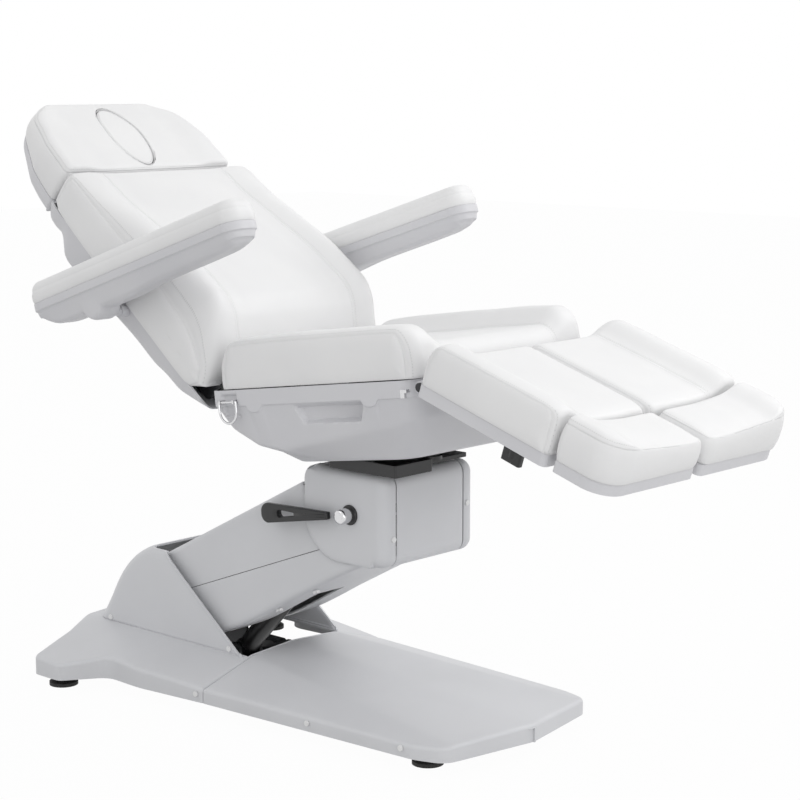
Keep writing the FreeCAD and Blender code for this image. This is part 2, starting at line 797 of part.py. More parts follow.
def make_housing():
    shell = housing_solid(0).cut(housing_solid(wall))
    clear = arm_half + wall
    shell = shell.cut(block(upper_x - housing_rear - over, upper_x - housing_rear + housing_edge_r,
                            -clear, clear, upper_z - housing_bottom - over,
                            upper_z + housing_top - wall * 1.2))
    shell = shell.cut(block(upper_x - housing_rear - over, upper_x + housing_front * 0.7,
                            -clear, clear, upper_z - housing_bottom - over,
                            upper_z - housing_bottom + housing_edge_r))
    shell = shell.cut(block(upper_x - housing_rear - over, upper_x - housing_rear + housing_rear_r,
                            -clear, clear, upper_z - housing_bottom - over,
                            upper_z - housing_bottom + housing_rear_r))
    shell = shell.cut(post(swivel_x, 0, upper_z + housing_top - over, upper_z + housing_top + over,
                           ring_r + run_gap))
    half = panel_width / 2
    tall = arm_length
    middle = block(upper_x - tall, upper_x + tall, -half, half, 0, tall * 2)
    right = block(upper_x - tall, upper_x + tall, -tall, -half - cover_gap, 0, tall * 2)
    left = mirrored(right)
    shaft = cross_bar(upper_x + hub_x, upper_z + hub_rise, brake_shaft_r + run_gap, -housing_half - over, 0)
    return shell.common(right).cut(shaft), shell.common(left), shell.common(middle)


def make_head_frame():
    outer = head_frame_width / 2
    plate_top = upper_z + housing_top - wall
    pieces = []
    for side in (-1, 1):
        cheek = slab([(upper_x - head_frame_rear * 0.4, upper_z - housing_bottom * 0.6, sheet * 2),
                      (upper_x + head_frame_front * 0.5, upper_z - housing_bottom * 0.6, sheet * 2),
                      (upper_x + head_frame_front, plate_top, 0),
                      (upper_x - head_frame_rear, plate_top, 0)], "xz", 0, sheet)
        y0 = ear_inner if side > 0 else -ear_inner - sheet
        cheek.translate(Vector(0, y0, 0))
        pieces.append(cheek)
    pieces.append(block(upper_x - head_frame_rear, upper_x + head_frame_front, -outer + wall, outer - wall,
                        plate_top - sheet, plate_top))
    frame = join(pieces)
    half = ear_inner + sheet
    for rise, radius in ((0, pin_r), (link_rise, small_pin_r)):
        frame = frame.fuse(cross_bar(upper_x, upper_z + rise, radius, -half, half))
    hub_z = upper_z + hub_rise
    frame = frame.cut(post(swivel_x, 0, plate_top - over, plate_top + over, ring_bore_r))
    frame = frame.cut(cross_bar(upper_x + hub_x, hub_z, brake_shaft_r + pin_gap, -half - over, 0))
    return frame.removeSplitter()


def make_housing_caps():
    caps = []
    for side in (-1, 1):
        y = side * (panel_width / 2 + cap_r * 1.8)
        x = upper_x + housing_front + seat_gap
        z = upper_z + cap_r * 3
        if side > 0:
            z = upper_z + cap_r * 10
        caps.append(bar(Vector(x, y, z), Vector(x + cap_height, y, z), cap_r))
    return Part.makeCompound(caps)


# Turntable: ring on the head frame, plate with tilt ears above it
ring_low = upper_z + housing_top - wall
ring_top = ring_low + ring_height
table_low = ring_top + seat_gap
table_top = table_low + table_height


def make_turntable():
    ring = post(swivel_x, 0, ring_low, ring_top, ring_r)
    ring = ring.cut(post(swivel_x, 0, ring_low - over, ring_top + over, ring_bore_r))
    tilt = seat_point(-tilt_x, tilt_w)
    half_l = table_plate_length / 2
    half_w = table_plate_width / 2
    plate = slab([(swivel_x - half_l, -half_w, sheet), (swivel_x + half_l, -half_w, sheet),
                  (swivel_x + half_l, half_w, sheet), (swivel_x - half_l, half_w, sheet)],
                 "xy", table_low, table_top)
    spigot = post(swivel_x, 0, table_low - ring_height, table_low, ring_bore_r - pin_gap)
    pieces = [plate, spigot]
    for side in (-1, 1):
        y0 = half_w - sheet if side > 0 else -half_w
        ear = slab([(swivel_x - half_l, table_low, 0), (swivel_x - half_l * 0.5, table_low, 0),
                    (tilt.x + pin_r * 1.8, tilt.z + pin_r * 1.6, pin_r),
                    (tilt.x - pin_r * 1.8, tilt.z + pin_r * 1.6, pin_r)], "xz", y0, y0 + sheet)
        pieces.append(ear)
    pin = cross_bar(tilt.x, tilt.z, pin_r, -half_w - sheet - run_gap, half_w + sheet + run_gap)
    return ring, join(pieces + [pin])


def make_control_box():
    front = swivel_x + box_front
    box = slab([(front - box_length, -box_side, wall), (front, -box_side, wall),
                (front, -box_side + box_width, wall), (front - box_length, -box_side + box_width, wall)],
               "xy", upper_z + housing_top + wall, upper_z + housing_top + wall + box_height)
    overlap = block(swivel_x - table_plate_length, swivel_x + table_plate_length / 2 + run_gap / 10,
                    -table_plate_width / 2, table_plate_width, 0, table_top)
    return box.cut(overlap)


# Swivel brake
def make_brake():
    x = upper_x + hub_x
    z = upper_z + hub_rise
    outside = -housing_half - run_gap
    hub = cross_bar(x, z, hub_r, outside - hub_length, outside)
    hub = hub.makeFillet(hub_r / 6, [hub.Edges[0]])
    shaft = cross_bar(x, z, brake_shaft_r, outside - hub_length / 2, -ear_inner + over / 6)
    y = outside - hub_length * 0.55
    lean = math.radians(handle_slope)
    reach = Vector(-math.cos(lean), 0, -math.sin(lean))
    stem = bar(Vector(x, y, z), Vector(x, y, z) + reach * (handle_neck + handle_length / 8),
               handle_neck_width / 4)
    half_tip = handle_tip_width / 2
    half_neck = handle_neck_width / 2
    grip = slab([(-handle_neck - handle_length, -half_tip, half_tip * 0.8), (-handle_neck, -half_neck, wall / 2),
                 (-handle_neck, half_neck, wall / 2), (-handle_neck - handle_length, half_tip, half_tip * 0.8)],
                "xz", -handle_thickness / 2, handle_thickness / 2)
    hole_far = -handle_neck - handle_length * 0.78
    hole_near = -handle_neck - handle_length * 0.5
    hole = slab([(hole_far, -half_tip * 0.5, half_tip * 0.4), (hole_near, -half_neck * 0.4, half_neck * 0.38),
                 (hole_near, half_neck * 0.4, half_neck * 0.38), (hole_far, half_tip * 0.5, half_tip * 0.4)],
                "xz", -over, over)
    rims = [e for e in grip.Edges if e.BoundBox.YLength < seat_gap]
    grip = grip.makeFillet(wall * 0.8, rims).cut(hole)
    grip = moved(grip, frame_at(x, z, -handle_slope, y))
    hub = join([hub, shaft, stem])
    bore = bar(Vector(x, y, z), Vector(x, y, z) + reach * (handle_neck + handle_length / 8 + pin_gap),
               handle_neck_width / 4 + pin_gap)
    return hub, grip.cut(bore)


# Seat shell: rim, crease and floor outlines, lofted and hollowed
def shell_solid(inset, rise=0.0):
    rim = shell_rim_width / 2 - inset
    crease = shell_crease_width / 2 - inset
    floor = shell_floor_width / 2 - inset
    top = cushion_base - run_gap
    rim_wire = polygon([Vector(-shell_rear + inset, -rim * 0.93, top), Vector(-shell_rear + inset * 2 + over, -rim, top),
                        Vector(shell_front - inset, -rim, top), Vector(shell_front - inset, rim, top),
                        Vector(-shell_rear + inset * 2 + over, rim, top), Vector(-shell_rear + inset, rim * 0.93, top)])
    low_rear = shell_crease_rear_height + inset
    low_front = shell_crease_front_height + inset
    crease_wire = polygon([Vector(-shell_rear + inset, -crease * 0.9, low_rear + inset),
                           Vector(-shell_rear + inset + over * 0.7, -crease, low_rear),
                           Vector(shell_front - inset, -crease, low_front),
                           Vector(shell_front - inset, crease, low_front),
                           Vector(-shell_rear + inset + over * 0.7, crease, low_rear),
                           Vector(-shell_rear + inset, crease * 0.9, low_rear + inset)])
    floor_wire = polygon([Vector(-shell_floor_rear + inset, -floor, inset),
                          Vector(-shell_floor_rear + inset + over, -floor, inset),
                          Vector(shell_floor_front - inset, -floor, inset),
                          Vector(shell_floor_front - inset, floor, inset),
                          Vector(-shell_floor_rear + inset + over, floor, inset),
                          Vector(-shell_floor_rear + inset, floor, inset)])
    solid = ruled([rim_wire, crease_wire, floor_wire])
    if rise:
        solid = solid.fuse(Part.Face(rim_wire).extrude(Vector(0, 0, rise)))
    return solid


def grip_outline(grown):
    """Outline of a hand grip's pocket, grown by a wall."""
    half = grip_length / 2
    tall = grip_height / 2
    return [(grip_x - half - grown, grip_w + tall + grown, wall * 2),
            (grip_x + half + grown, grip_w + tall + grown, wall * 2),
            (grip_x + half * 0.86 + grown, grip_w - tall - grown, wall * 2),
            (grip_x - half * 0.8 - grown, grip_w - tall - grown, wall * 2)]


def make_seat_shell():
    outer = shell_solid(0)
    shell = outer.cut(shell_solid(wall, over))
    half_open = floor_opening_width / 2
    shell = shell.cut(block(-floor_opening_rear, floor_opening_front, -half_open, half_open, -over, wall * 2))
    shell = shell.cut(block(-floor_opening_rear, -shell_floor_rear + wall, -half_open, half_open,
                            -over, cross_low - over / 2))
    notch = rail_width / 2 + wall
    for side in (-1, 1):
        y = side * rail_gauge / 2
        shell = shell.cut(block(shell_front - wall * 8, shell_front + over, y - notch, y + notch,
                                rail_low - wall * 2, cushion_base + wall))
    nest = back_shell_width / 2 - wall * 3
    shell = shell.cut(block(-shell_rear - over, -shell_rear + wall * 6, -nest, nest, 0, cushion_base + over))
    for side in (-1, 1):
        back_y = shell_crease_width / 2 - grip_depth
        pocket = slab(grip_outline(wall), "xz", back_y - wall, shell_rim_width / 2).common(outer)
        grip = slab(grip_outline(0), "xz", back_y, shell_rim_width)
        shell = shell.fuse(pocket if side > 0 else mirrored(pocket))
        shell = shell.cut(grip if side > 0 else mirrored(grip))
    return moved(shell.removeSplitter(), seat_place)


# Soft section: bottom, drawn-in sides, side seams, crests and a lower middle
def soft_section(x, half, base, seam, crest, centre, draw):
    seam_y = half - draw
    crest_y = half * 0.84
    inner_y = half * 0.62
    swell = draw * 0.5
    return bulged_wire([(-half + draw, base, 0), (half - draw, base, swell),
                        (seam_y + draw, base + seam * 0.5, swell), (seam_y, base + seam, swell),
                        (crest_y, base + crest, swell / 2), (inner_y, base + centre * 1.04, -swell / 2),
                        (-inner_y, base + centre * 1.04, swell / 2), (-crest_y, base + crest, swell),
                        (-seam_y, base + seam, swell), (-seam_y - draw, base + seam * 0.5, swell)],
                       "yz", x)


def make_seat_cushion():
    half = seat_width / 2
    length = seat_front + seat_rear
    draw = seat_draw
    # share of the length, share of the height, inset of the sides
    end_shares = [(0.0, 0.62, 2.2), (0.025, 0.9, 1.2), (0.07, 1.0, 1.0), (0.5, 1.02, 1.0),
                  (0.92, 1.0, 1.0), (0.975, 0.9, 1.2), (1.0, 0.66, 2.2)]
    wires = []
    for along, high, pull in end_shares:
        wires.append(soft_section(-seat_rear + length * along, half - draw * (pull - 1), cushion_base,
                                  seat_thick * high, seat_crest * high, seat_centre * high, draw))
    return moved(ruled(wires), seat_place)


def make_seat_frame():
    pieces = []
    half_gauge = rail_gauge / 2
    half = rail_width / 2
    ear_end = hinge_tube_r * 1.7
    for side in (-1, 1):
        y = side * half_gauge
        pieces.append(block(-rail_rear, leg_hinge_x - ear_end - wall, y - half, y + half, rail_low, rail_high))
        y0 = y - sheet / 2
        front_ear = slab([(shell_front - over, rail_low, 0), (leg_hinge_x, leg_hinge_w - ear_end, ear_end / 2),
                          (leg_hinge_x + ear_end * 0.9, leg_hinge_w, ear_end / 2),
                          (leg_hinge_x, leg_hinge_w + ear_end * 0.8, ear_end / 2),
                          (shell_front - over, rail_high, 0)],
                         "xz", y0, y0 + sheet)
        pieces.append(front_ear)
        y0 = side * (table_plate_width / 2 + run_gap) if side > 0 else \
            -table_plate_width / 2 - run_gap - sheet
        tilt_ear = slab([(-tilt_x - pin_r * 1.7, tilt_w - pin_r * 1.5, pin_r),
                         (-tilt_x + pin_r * 1.7, tilt_w - pin_r * 1.5, pin_r),
                         (-tilt_x + pin_r * 4, rail_low + wall, 0), (-tilt_x - pin_r * 4, rail_low + wall, 0)],
                        "xz", y0, y0 + sheet)
        pieces.append(tilt_ear)
        y0 = back_ear_y if side > 0 else -back_ear_y - sheet
        back_ear = slab([(-rail_rear + over * 2, cross_low, 0), (-rail_rear + over, rail_high, 0),
                         (-seat_rear - pin_r, cushion_base - pin_r, pin_r / 2),
                         (-back_hinge_x + pin_r * 1.6, back_hinge_w + pin_r * 1.5, pin_r),
                         (-back_hinge_x - pin_r * 1.6, back_hinge_w + pin_r * 1.5, pin_r),
                         (-back_hinge_x + pin_r * 1.2, rail_low + pin_r * 2.4, pin_r)], "xz", y0, y0 + sheet)
        pieces.append(back_ear)
    span = half_gauge + half
    ear_span = back_ear_y + sheet
    cross = cross_width
    pieces.append(block(-tilt_x - cross * 1.6, -tilt_x + cross / 2, -ear_span, ear_span, cross_low, rail_low))
    pieces.append(block(jack_x - cross / 2, jack_x + cross / 2, -span, span, jack_cross_low, jack_cross_low + cross * 0.8))
    pieces.append(cross_bar(leg_hinge_x, leg_hinge_w, hinge_tube_r - seat_gap, -leg_outer + tray_inset * 2,
                            leg_outer - tray_inset * 2))
    for side in (-1, 1):
        y = side * half_gauge
        for x in (-rail_rear + cross, seat_front - cross * 3):
            pieces.append(block(x, x + cross * 2, y - half, y + half, rail_high, cushion_base - seat_gap))
    rim = shell_rim_width / 2
    inside = shell_solid(wall + seat_gap)
    pieces.append(block(jack_x - cross / 2, jack_x + cross / 2, -rim, rim, jack_cross_low, rail_high).common(inside))
    lug_low = tilt_lug_low
    lug_half = jack_slot + eye_wall
    for side in (-1, 1):
        y0 = jack_rod_r + run_gap if side > 0 else -jack_rod_r - run_gap - sheet
        pieces.append(block(jack_x - lug_half, jack_x + lug_half, y0, y0 + sheet, lug_low, jack_cross_low + wall))
    frame = join(pieces)
    bores = [cross_bar(-tilt_x, tilt_w, pin_r + pin_gap, -over * 3, over * 3)]
    for side in (-1, 1):
        y0 = back_ear_y - over / 4 if side > 0 else -back_ear_y - sheet - over / 4
        bores.append(cross_bar(-back_hinge_x, back_hinge_w, pin_r + pin_gap, y0, y0 + sheet + over / 2))
    slot_half = pin_r / 2 + run_gap * 6
    bores.append(slab([(jack_x - jack_slot, jack_eye_w - slot_half, slot_half * 0.99),
                       (jack_x + jack_slot, jack_eye_w - slot_half, slot_half * 0.99),
                       (jack_x + jack_slot, jack_eye_w + slot_half, slot_half * 0.99),
                       (jack_x - jack_slot, jack_eye_w + slot_half, slot_half * 0.99)], "xz", -over, over))
    for bore in bores:
        frame = frame.cut(bore)
    return moved(frame, seat_place)


cross_low = rail_low - cross_drop
jack_cross_low = rail_high - jack_cross_drop
tilt_lug_low = jack_cross_low - tilt_lug_depth
jack_eye_w = tilt_lug_low + pin_r + wall
jack_slot = pin_r / 2 + open_pivot_gap * 2


def make_tilt_jack():
    eye = seat_point(jack_x, jack_eye_w)
    body = post(eye.x, 0, table_top, table_top + jack_height, jack_r)
    flange = post(eye.x, 0, table_top, table_top + sheet, jack_r * 1.4)
    body = body.fuse(flange).cut(post(eye.x, 0, table_top + sheet / 2, table_top + over * 3,
                                      jack_rod_r + pin_gap))
    rod = join([post(eye.x, 0, table_top + jack_height * 0.52, eye.z + jack_rod_r, jack_rod_r),
                cross_bar(eye.x, eye.z, pin_r * 0.5, -jack_rod_r - run_gap - sheet,
                          jack_rod_r + run_gap + sheet)])
    return body.removeSplitter(), rod


def make_seat_fittings():
    staples = []
    rings = {}
    catches = []
    outside = shell_solid(-seat_gap)
    for side in (-1, 1):
        y = side * (shell_rim_width / 2 - wall * 0.4)
        bar_y = y + side * wall * 1.6
        half = catch_size / 2
        for k in (-1, 1):
            x = -ring_x + k * staple_reach
            y0, y1 = sorted((y - side * wall * 4, bar_y + side * wall * 0.9))
            lug = block(x - wall / 2, x + wall / 2, y0, y1, ring_w - wall, ring_w + wall).cut(outside)
            lug = lug.cut(bar(Vector(x - over, bar_y, ring_w), Vector(x + over, bar_y, ring_w),
                              ring_wire_r + seat_gap))
            staples.append(lug)
        rings["d_ring_right" if side < 0 else "d_ring_left"] = d_ring(-ring_x, bar_y, ring_w)
        y0, y1 = sorted((y - side * wall * 4, y + side * wall * 0.5))
        catch = block(catch_x - half * 0.7, catch_x + half * 0.7, y0, y1, catch_w - wall, catch_w + wall * 0.6)
        tongue = block(catch_x - half * 0.7, catch_x + half * 0.2, y0, y1, catch_w - wall * 3.4, catch_w - wall)
        catches.append(catch.fuse(tongue).removeSplitter().cut(outside))
    return (moved(Part.makeCompound(staples), seat_place),
            {n: moved(s, seat_place) for n, s in rings.items()},
            moved(Part.makeCompound(catches), seat_place))


def d_ring(x, y, w):
    """Straight hinge bar, two short sides and a half-round bow, one closed ring."""
    half = ring_width / 2 - ring_wire_r
    straight = ring_drop - half
    corners = [Vector(x - half, y, w), Vector(x + half, y, w)]
    drop = Vector(0, 0, -straight)
    low_half = block(x - ring_width, x + ring_width, y - wall, y + wall, w - straight - ring_drop, w - straight)
    whole = Part.makeTorus(half, ring_wire_r, Vector(x, y, w - straight), Vector(0, 1, 0))
    bow = whole.common(low_half)
    pieces = [bar(corners[0], corners[1], ring_wire_r), bow]
    for corner in corners:
        pieces.append(bar(corner, corner + drop, ring_wire_r))
        pieces.append(Part.makeSphere(ring_wire_r, corner))
    return join(pieces)


# Back drive: motor fixed under the seat, rod with a cross pin in the lever's slot
def make_back_drive():
    w = back_hinge_w - lever_drop
    x0 = -back_motor_x
    x1 = x0 + back_motor_length
    motor = join([bar(Vector(x0, 0, w), Vector(x1, 0, w), back_motor_r),
                  block(x0 + sheet, x0 + sheet * 3, -rail_gauge / 2 + rail_width / 2,
                        rail_gauge / 2 - rail_width / 2, w - sheet, w + sheet)])
    motor = motor.cut(bar(Vector(x0 - over, 0, w), Vector(x1 - sheet, 0, w), back_rod_r + pin_gap))
    fork_half = lever_thick / 2 + run_gap
    tip = -back_hinge_x
    bridge_x = tip + lever_drop / 2
    shank = bar(Vector(bridge_x, 0, w), Vector(x1 - sheet * 8.5, 0, w), back_rod_r)
    bridge = block(bridge_x - sheet, bridge_x + sheet, -fork_half - sheet, fork_half + sheet,
                   w - back_rod_r, w + back_rod_r)
    cheeks = []
    for side in (-1, 1):
        y0 = fork_half if side > 0 else -fork_half - sheet
        cheeks.append(slab([(tip - small_pin_r * 1.4, w - back_rod_r, small_pin_r),
                            (bridge_x, w - back_rod_r, 0), (bridge_x, w + back_rod_r, 0),
                            (tip - small_pin_r * 1.4, w + back_rod_r, small_pin_r)], "xz", y0, y0 + sheet))
    pin = cross_bar(tip, w, small_pin_r * 0.8, -fork_half - sheet, fork_half + sheet)
    rod = join([shank, bridge, pin] + cheeks)
    return moved(motor, seat_place), moved(rod, seat_place)


def make_back_frame():
    """Rails, cross members, hinge ears with pins, and the slotted drive lever."""
    pieces = []
    half_gauge = back_rail_gauge / 2
    half = rail_width / 2
    cross = cross_width
    for side in (-1, 1):
        y = side * half_gauge
        pieces.append(block(-back_length + cross, -cross / 2, y - half, y + half, -back_rail_low, -back_rail_high))
        y0 = back_ear_y - run_gap - sheet if side > 0 else -back_ear_y + run_gap
        ear = slab([(-cross * 2, -back_rail_low, 0), (cross * 0.35, -back_rail_low, cross / 2),
                    (pin_r * 1.6, pin_r * 1.5, pin_r), (-pin_r * 1.6, pin_r * 1.5, pin_r),
                    (-pin_r * 1.8, -back_rail_high, pin_r / 2), (-cross * 1.6, -back_rail_high, 0)],
                   "xz", y0, y0 + sheet)
        pieces.append(ear)
        outer = back_ear_y + sheet + run_gap
        pieces.append(cross_bar(0, 0, pin_r, y0, outer) if side > 0 else
                      cross_bar(0, 0, pin_r, -outer, y0 + sheet))
    span = half_gauge + half
    for share in (0.0, 0.45, 0.93):
        x = -cross - (back_length - cross * 2) * share
        pieces.append(block(x - cross, x, -span, span, -back_rail_low, -back_rail_high))
    hinge_x = -back_length - head_gap / 2
    hinge_w = -back_rail_low + head_bar_r
    for side in (-1, 1):
        y = side * head_bar_gauge / 2
        for y0 in (y - head_bar_r - run_gap - wall, y + head_bar_r + run_gap):
            pieces.append(slab([(hinge_x - head_bar_r, hinge_w - head_bar_r, head_bar_r),
                                (-back_length + cross * 1.5, hinge_w - head_bar_r, 0),
                                (-back_length + cross * 1.5, hinge_w + head_bar_r, 0),
                                (hinge_x - head_bar_r, hinge_w + head_bar_r, head_bar_r)],
                               "xz", y0, y0 + wall))
        outer = head_bar_r + run_gap + wall
        pieces.append(cross_bar(hinge_x, hinge_w, wall, y - outer, y + outer))
    lean = seat_tilt + back_angle
    lever_half = lever_slot_r + eye_wall * 0.75
    neck = lever_drop - lever_slot_r
    lever = slab([(-lever_half, -lever_length, lever_half), (lever_half, -lever_length, lever_half),
                  (lever_half, -neck, 0), (lever_half / 4, 0, 0), (-lever_half, 0, 0)], "xz",
                 -lever_thick / 2, lever_thick / 2)
    slot_top = lever_drop - lever_slot_r
    slot_end = lever_length - eye_wall - lever_slot_r
    slot = slab([(-lever_slot_r, -slot_end - lever_slot_r, lever_slot_r * 0.99),
                 (lever_slot_r, -slot_end - lever_slot_r, lever_slot_r * 0.99),
                 (lever_slot_r, -slot_top, lever_slot_r * 0.99), (-lever_slot_r, -slot_top, lever_slot_r * 0.99)],
                "xz", -over, over)
    lever = moved(lever.cut(slot), frame_at(0, 0, -lean))
    arm = slab([(-cross * 1.6, -back_rail_low, 0), (0, -back_rail_low, 0),
                (lever_half * 2.2, -lever_half * 3.3, 0), (lever_half * 0.6, 0, 0), (-lever_half * 0.7, 0, 0),
                (-lever_half, -back_rail_high, 0), (-cross * 1.6, -back_rail_high, 0)],
               "xz", -lever_thick / 2, lever_thick / 2)
    arm = arm.cut(moved(slot, frame_at(0, 0, -lean)))
    pieces += [lever, arm]
    return moved(join(pieces), back_place)


def make_back_cushion():
    half = back_width / 2
    thick = back_thick
    # share of the length; base's lift, seam, crest, middle and pull as shares of the thickness
    loin_shares = [(0.045, 0.047, 0.22, 0.385, 0.335, 0.07), (0.08, 0.012, 0.405, 0.745, 0.63, 0.023),
                   (0.16, 0.0, 0.56, 1.0, 0.87, 0.0), (0.36, 0.0, 0.595, 1.0, 0.86, 0.0),
                   (0.62, 0.0, 0.57, 0.84, 0.71, 0.0), (0.84, 0.023, 0.525, 0.65, 0.57, 0.0),
                   (0.975, 0.047, 0.475, 0.535, 0.49, 0.012), (1.0, 0.081, 0.385, 0.43, 0.395, 0.047)]
    wires = []
    for along, lift, seam, crest, middle, pull in loin_shares:
        wires.append(soft_section(-back_length * along, half - thick * pull, -back_base + thick * lift,
                                  thick * seam, thick * crest, thick * middle, back_draw))
    return moved(ruled(list(reversed(wires))), back_place)


def make_back_shell():
    """Tray behind the cushion: rim, belly and a lip that curls under the seat."""
    def outline(x, rim_half, floor_half, top, floor):
        return polygon([Vector(x, -rim_half, top), Vector(x, -floor_half, floor),
                        Vector(x, floor_half, floor), Vector(x, rim_half, top)])
    rim = back_shell_width / 2
    floor = back_shell_floor_width / 2
    top = -back_base - run_gap
    deep = back_shell_depth
    stations = [(-back_length, rim - wall, floor - wall, -deep * 0.75),
                (-back_length * 0.92, rim, floor, -deep * 0.775), (-back_length * 0.86, rim, floor, -deep),
                (-back_length * 0.38, rim, floor, -deep * 0.875), (-back_length * 0.16, rim, floor, -deep * 0.8),
                (-back_base / 2, rim - wall * 3, floor - wall, -deep * 0.745),
                (back_base * 0.5, rim - wall * 6, floor - wall * 4, -deep * 0.65)]
    outer = ruled([outline(x, r, f, top, z) for x, r, f, z in stations])
    inner = ruled([outline(x, r - wall, f - wall, top + over, z + wall) for x, r, f, z in stations])
    front_cut = block(-wall, over * 2, -rim, rim, -back_base * 1.5, over)
    inner_short = inner.common(block(-back_length + wall, back_base, -rim, rim, -over * 4, over))
    shell = outer.cut(inner_short).cut(front_cut)
    half = head_bar_r + wall * 2
    for side in (-1, 1):
        y = side * head_bar_gauge / 2
        shell = shell.cut(block(-back_length - over, -back_length + wall * 3, y - half, y + half,
                                -back_rail_low - wall, -back_base))
    shell = moved(shell, back_place)
    for side in (-1, 1):
        hole = cross_bar(0, 0, armrest_boss_r + run_gap, -over * 2, over * 2)
        shell = shell.cut(moved(hole, armrest_frame(side)))
    return shell


# Head rest
def head_half(along):
    """Half width of the head rest at a share of its length from the joint."""
    width_shares = [(0.0, 1.0), (0.4, 0.985), (0.78, 0.9), (0.93, 0.76), (1.0, head_top_width / head_width)]
    for (s0, h0), (s1, h1) in zip(width_shares, width_shares[1:]):
        if along <= s1:
            return head_width / 2 * (h0 + (h1 - h0) * (along - s0) / (s1 - s0))
    return head_top_width / 2


def oval(x, length, width, low, high):
    ellipse = Part.Ellipse(Vector(x, 0, low), length / 2, width / 2).toShape()
    return Part.Face(Part.Wire(ellipse)).extrude(Vector(0, 0, high - low))


head_start = back_length + head_gap
hole_x = -(head_start + hole_from_joint)


def make_head():
    draw = head_draw
    thick = head_thick
    # share of the length, underside's lift and height as shares of the thickness
    rise_shares = [(0.0, 0.065, 0.78), (0.04, 0.0, 0.97), (0.4, 0.03, 1.0), (0.78, 0.13, 0.94),
                   (0.93, 0.195, 0.84), (1.0, 0.28, 0.58)]
    wires = []
    for along, lift, high in rise_shares:
        half = head_half(along) - (draw if along == 0 else 0)
        wires.append(soft_section(-head_start - head_length * along, half, -head_base + thick * lift,
                                  thick * high, thick * high * 1.06, thick * high * 0.93, draw))
    cushion = ruled(list(reversed(wires)))
    hole = oval(hole_x, hole_length, hole_width, -head_base - over, over)
    plug = oval(hole_x, hole_length - run_gap * 4, hole_width - run_gap * 4, -head_base + run_gap,
                head_thick * 0.93 - head_base - draw / 2)
    # share of the length, the rim's lift as a share of the thickness, share of the depth
    shell_shares = [(0.04, 0.0, 1.0), (0.4, 0.03, 0.96), (0.78, 0.13, 0.86), (0.93, 0.195, 0.74),
                    (0.97, 0.24, 0.6)]
    outers = []
    inners = []
    for along, lift, deep in shell_shares:
        x = -head_start - head_length * along
        rim = head_half(along) - wall * 2
        top = -head_base - run_gap + thick * lift
        low = top - head_shell_depth * deep
        floor = rim - wall * 5
        outers.append(polygon([Vector(x, -rim, top), Vector(x, -floor, low),
                               Vector(x, floor, low), Vector(x, rim, top)]))
        inners.append(polygon([Vector(x, -rim + wall, top + wall), Vector(x, -floor + wall, low + wall),
                               Vector(x, floor - wall, low + wall), Vector(x, rim - wall, top + wall)]))
    shell = ruled(outers)
    end = -head_start - head_length * 0.97 + wall
    inner = ruled(inners).common(block(end, -head_start - head_length * 0.04 - wall,
                                       -head_width, head_width, -over * 3, over))
    shell = shell.cut(inner)
    bar_w = -back_rail_low + head_bar_r
    bars = []
    head_hinge_x = -head_start + head_gap / 2
    for side in (-1, 1):
        y = side * head_bar_gauge / 2
        shell = shell.cut(block(-head_start - over, -head_start + over, y - head_bar_r - run_gap,
                                y + head_bar_r + run_gap, bar_w - head_bar_r, bar_w + head_bar_r))
        rail = block(-head_start - head_length * 0.3, head_hinge_x, y - head_bar_r, y + head_bar_r,
                     bar_w - head_bar_r * 0.6, bar_w + head_bar_r * 0.6)
        rail = join([rail, cross_bar(head_hinge_x, bar_w, head_bar_r, y - head_bar_r, y + head_bar_r)])
        bars.append(rail.cut(cross_bar(head_hinge_x, bar_w, wall + pin_gap, y - over, y + over)))
    place = back_place
    return (moved(cushion.cut(hole), place), moved(plug, place), moved(shell, place),
            moved(Part.makeCompound(bars), place))


# Armrests, in the frame of their own pivots
def armrest_frame(side):
    return frame_at(armrest_origin.x, armrest_origin.z, -armrest_slope, side * armrest_y,
                    -side * armrest_splay_angle)


def armrest_plan(inset, tail, nose):
    half = armrest_width / 2 - inset
    radius = pad_r - inset / 2
    return [(-tail + inset, -half, radius), (nose - inset, -half, radius),
            (nose - inset, half, radius), (-tail + inset, half, radius)]


def make_armrest(side):
    nose = armrest_length - armrest_tail
    pad = slab(armrest_plan(0, armrest_tail, nose), "xy", pad_base, pad_base + pad_height)
    top = [e for e in pad.Edges if e.BoundBox.ZMin > pad_base + pad_height - seat_gap]
    pad = pad.makeFillet(pad_height * 0.3, top)
    rim = slab(armrest_plan(wall / 2, armrest_tail, nose), "xy", pad_base - rim_height, pad_base - run_gap)
    upper = rounded_wire(armrest_plan(wall, armrest_tail, nose), "xy", pad_base - rim_height)
    lower = rounded_wire(armrest_plan(wall * 3, armrest_tail * 0.86, nose * 0.87), "xy", 0)
    tip = math.degrees(math.atan2(shell_nose_rise + shell_tail_drop, armrest_length * 0.8))
    lower.Placement = frame_at(0, -shell_tail_drop * 0.6, -tip)
    belly = rounded_wire(armrest_plan(wall * 1.5, armrest_tail * 0.96, nose * 0.95), "xy", 0)
    belly.Placement = frame_at(0, (pad_base - rim_height) * 0.36, -tip / 2)
    body = ruled([lower, belly, upper]).fuse(rim).removeSplitter()
    boss = cross_bar(0, 0, pin_r + eye_wall, -armrest_width / 2 + wall, armrest_width / 2 - wall)
    body = body.fuse(boss).removeSplitter()
    socket_y = -side * (armrest_width / 2)
    y0, y1 = sorted((socket_y - side * over, side * wall))
    body = body.cut(cross_bar(0, 0, pin_r + pin_gap, y0, y1))
    place = armrest_frame(side)
    return moved(pad, place), moved(body, place)


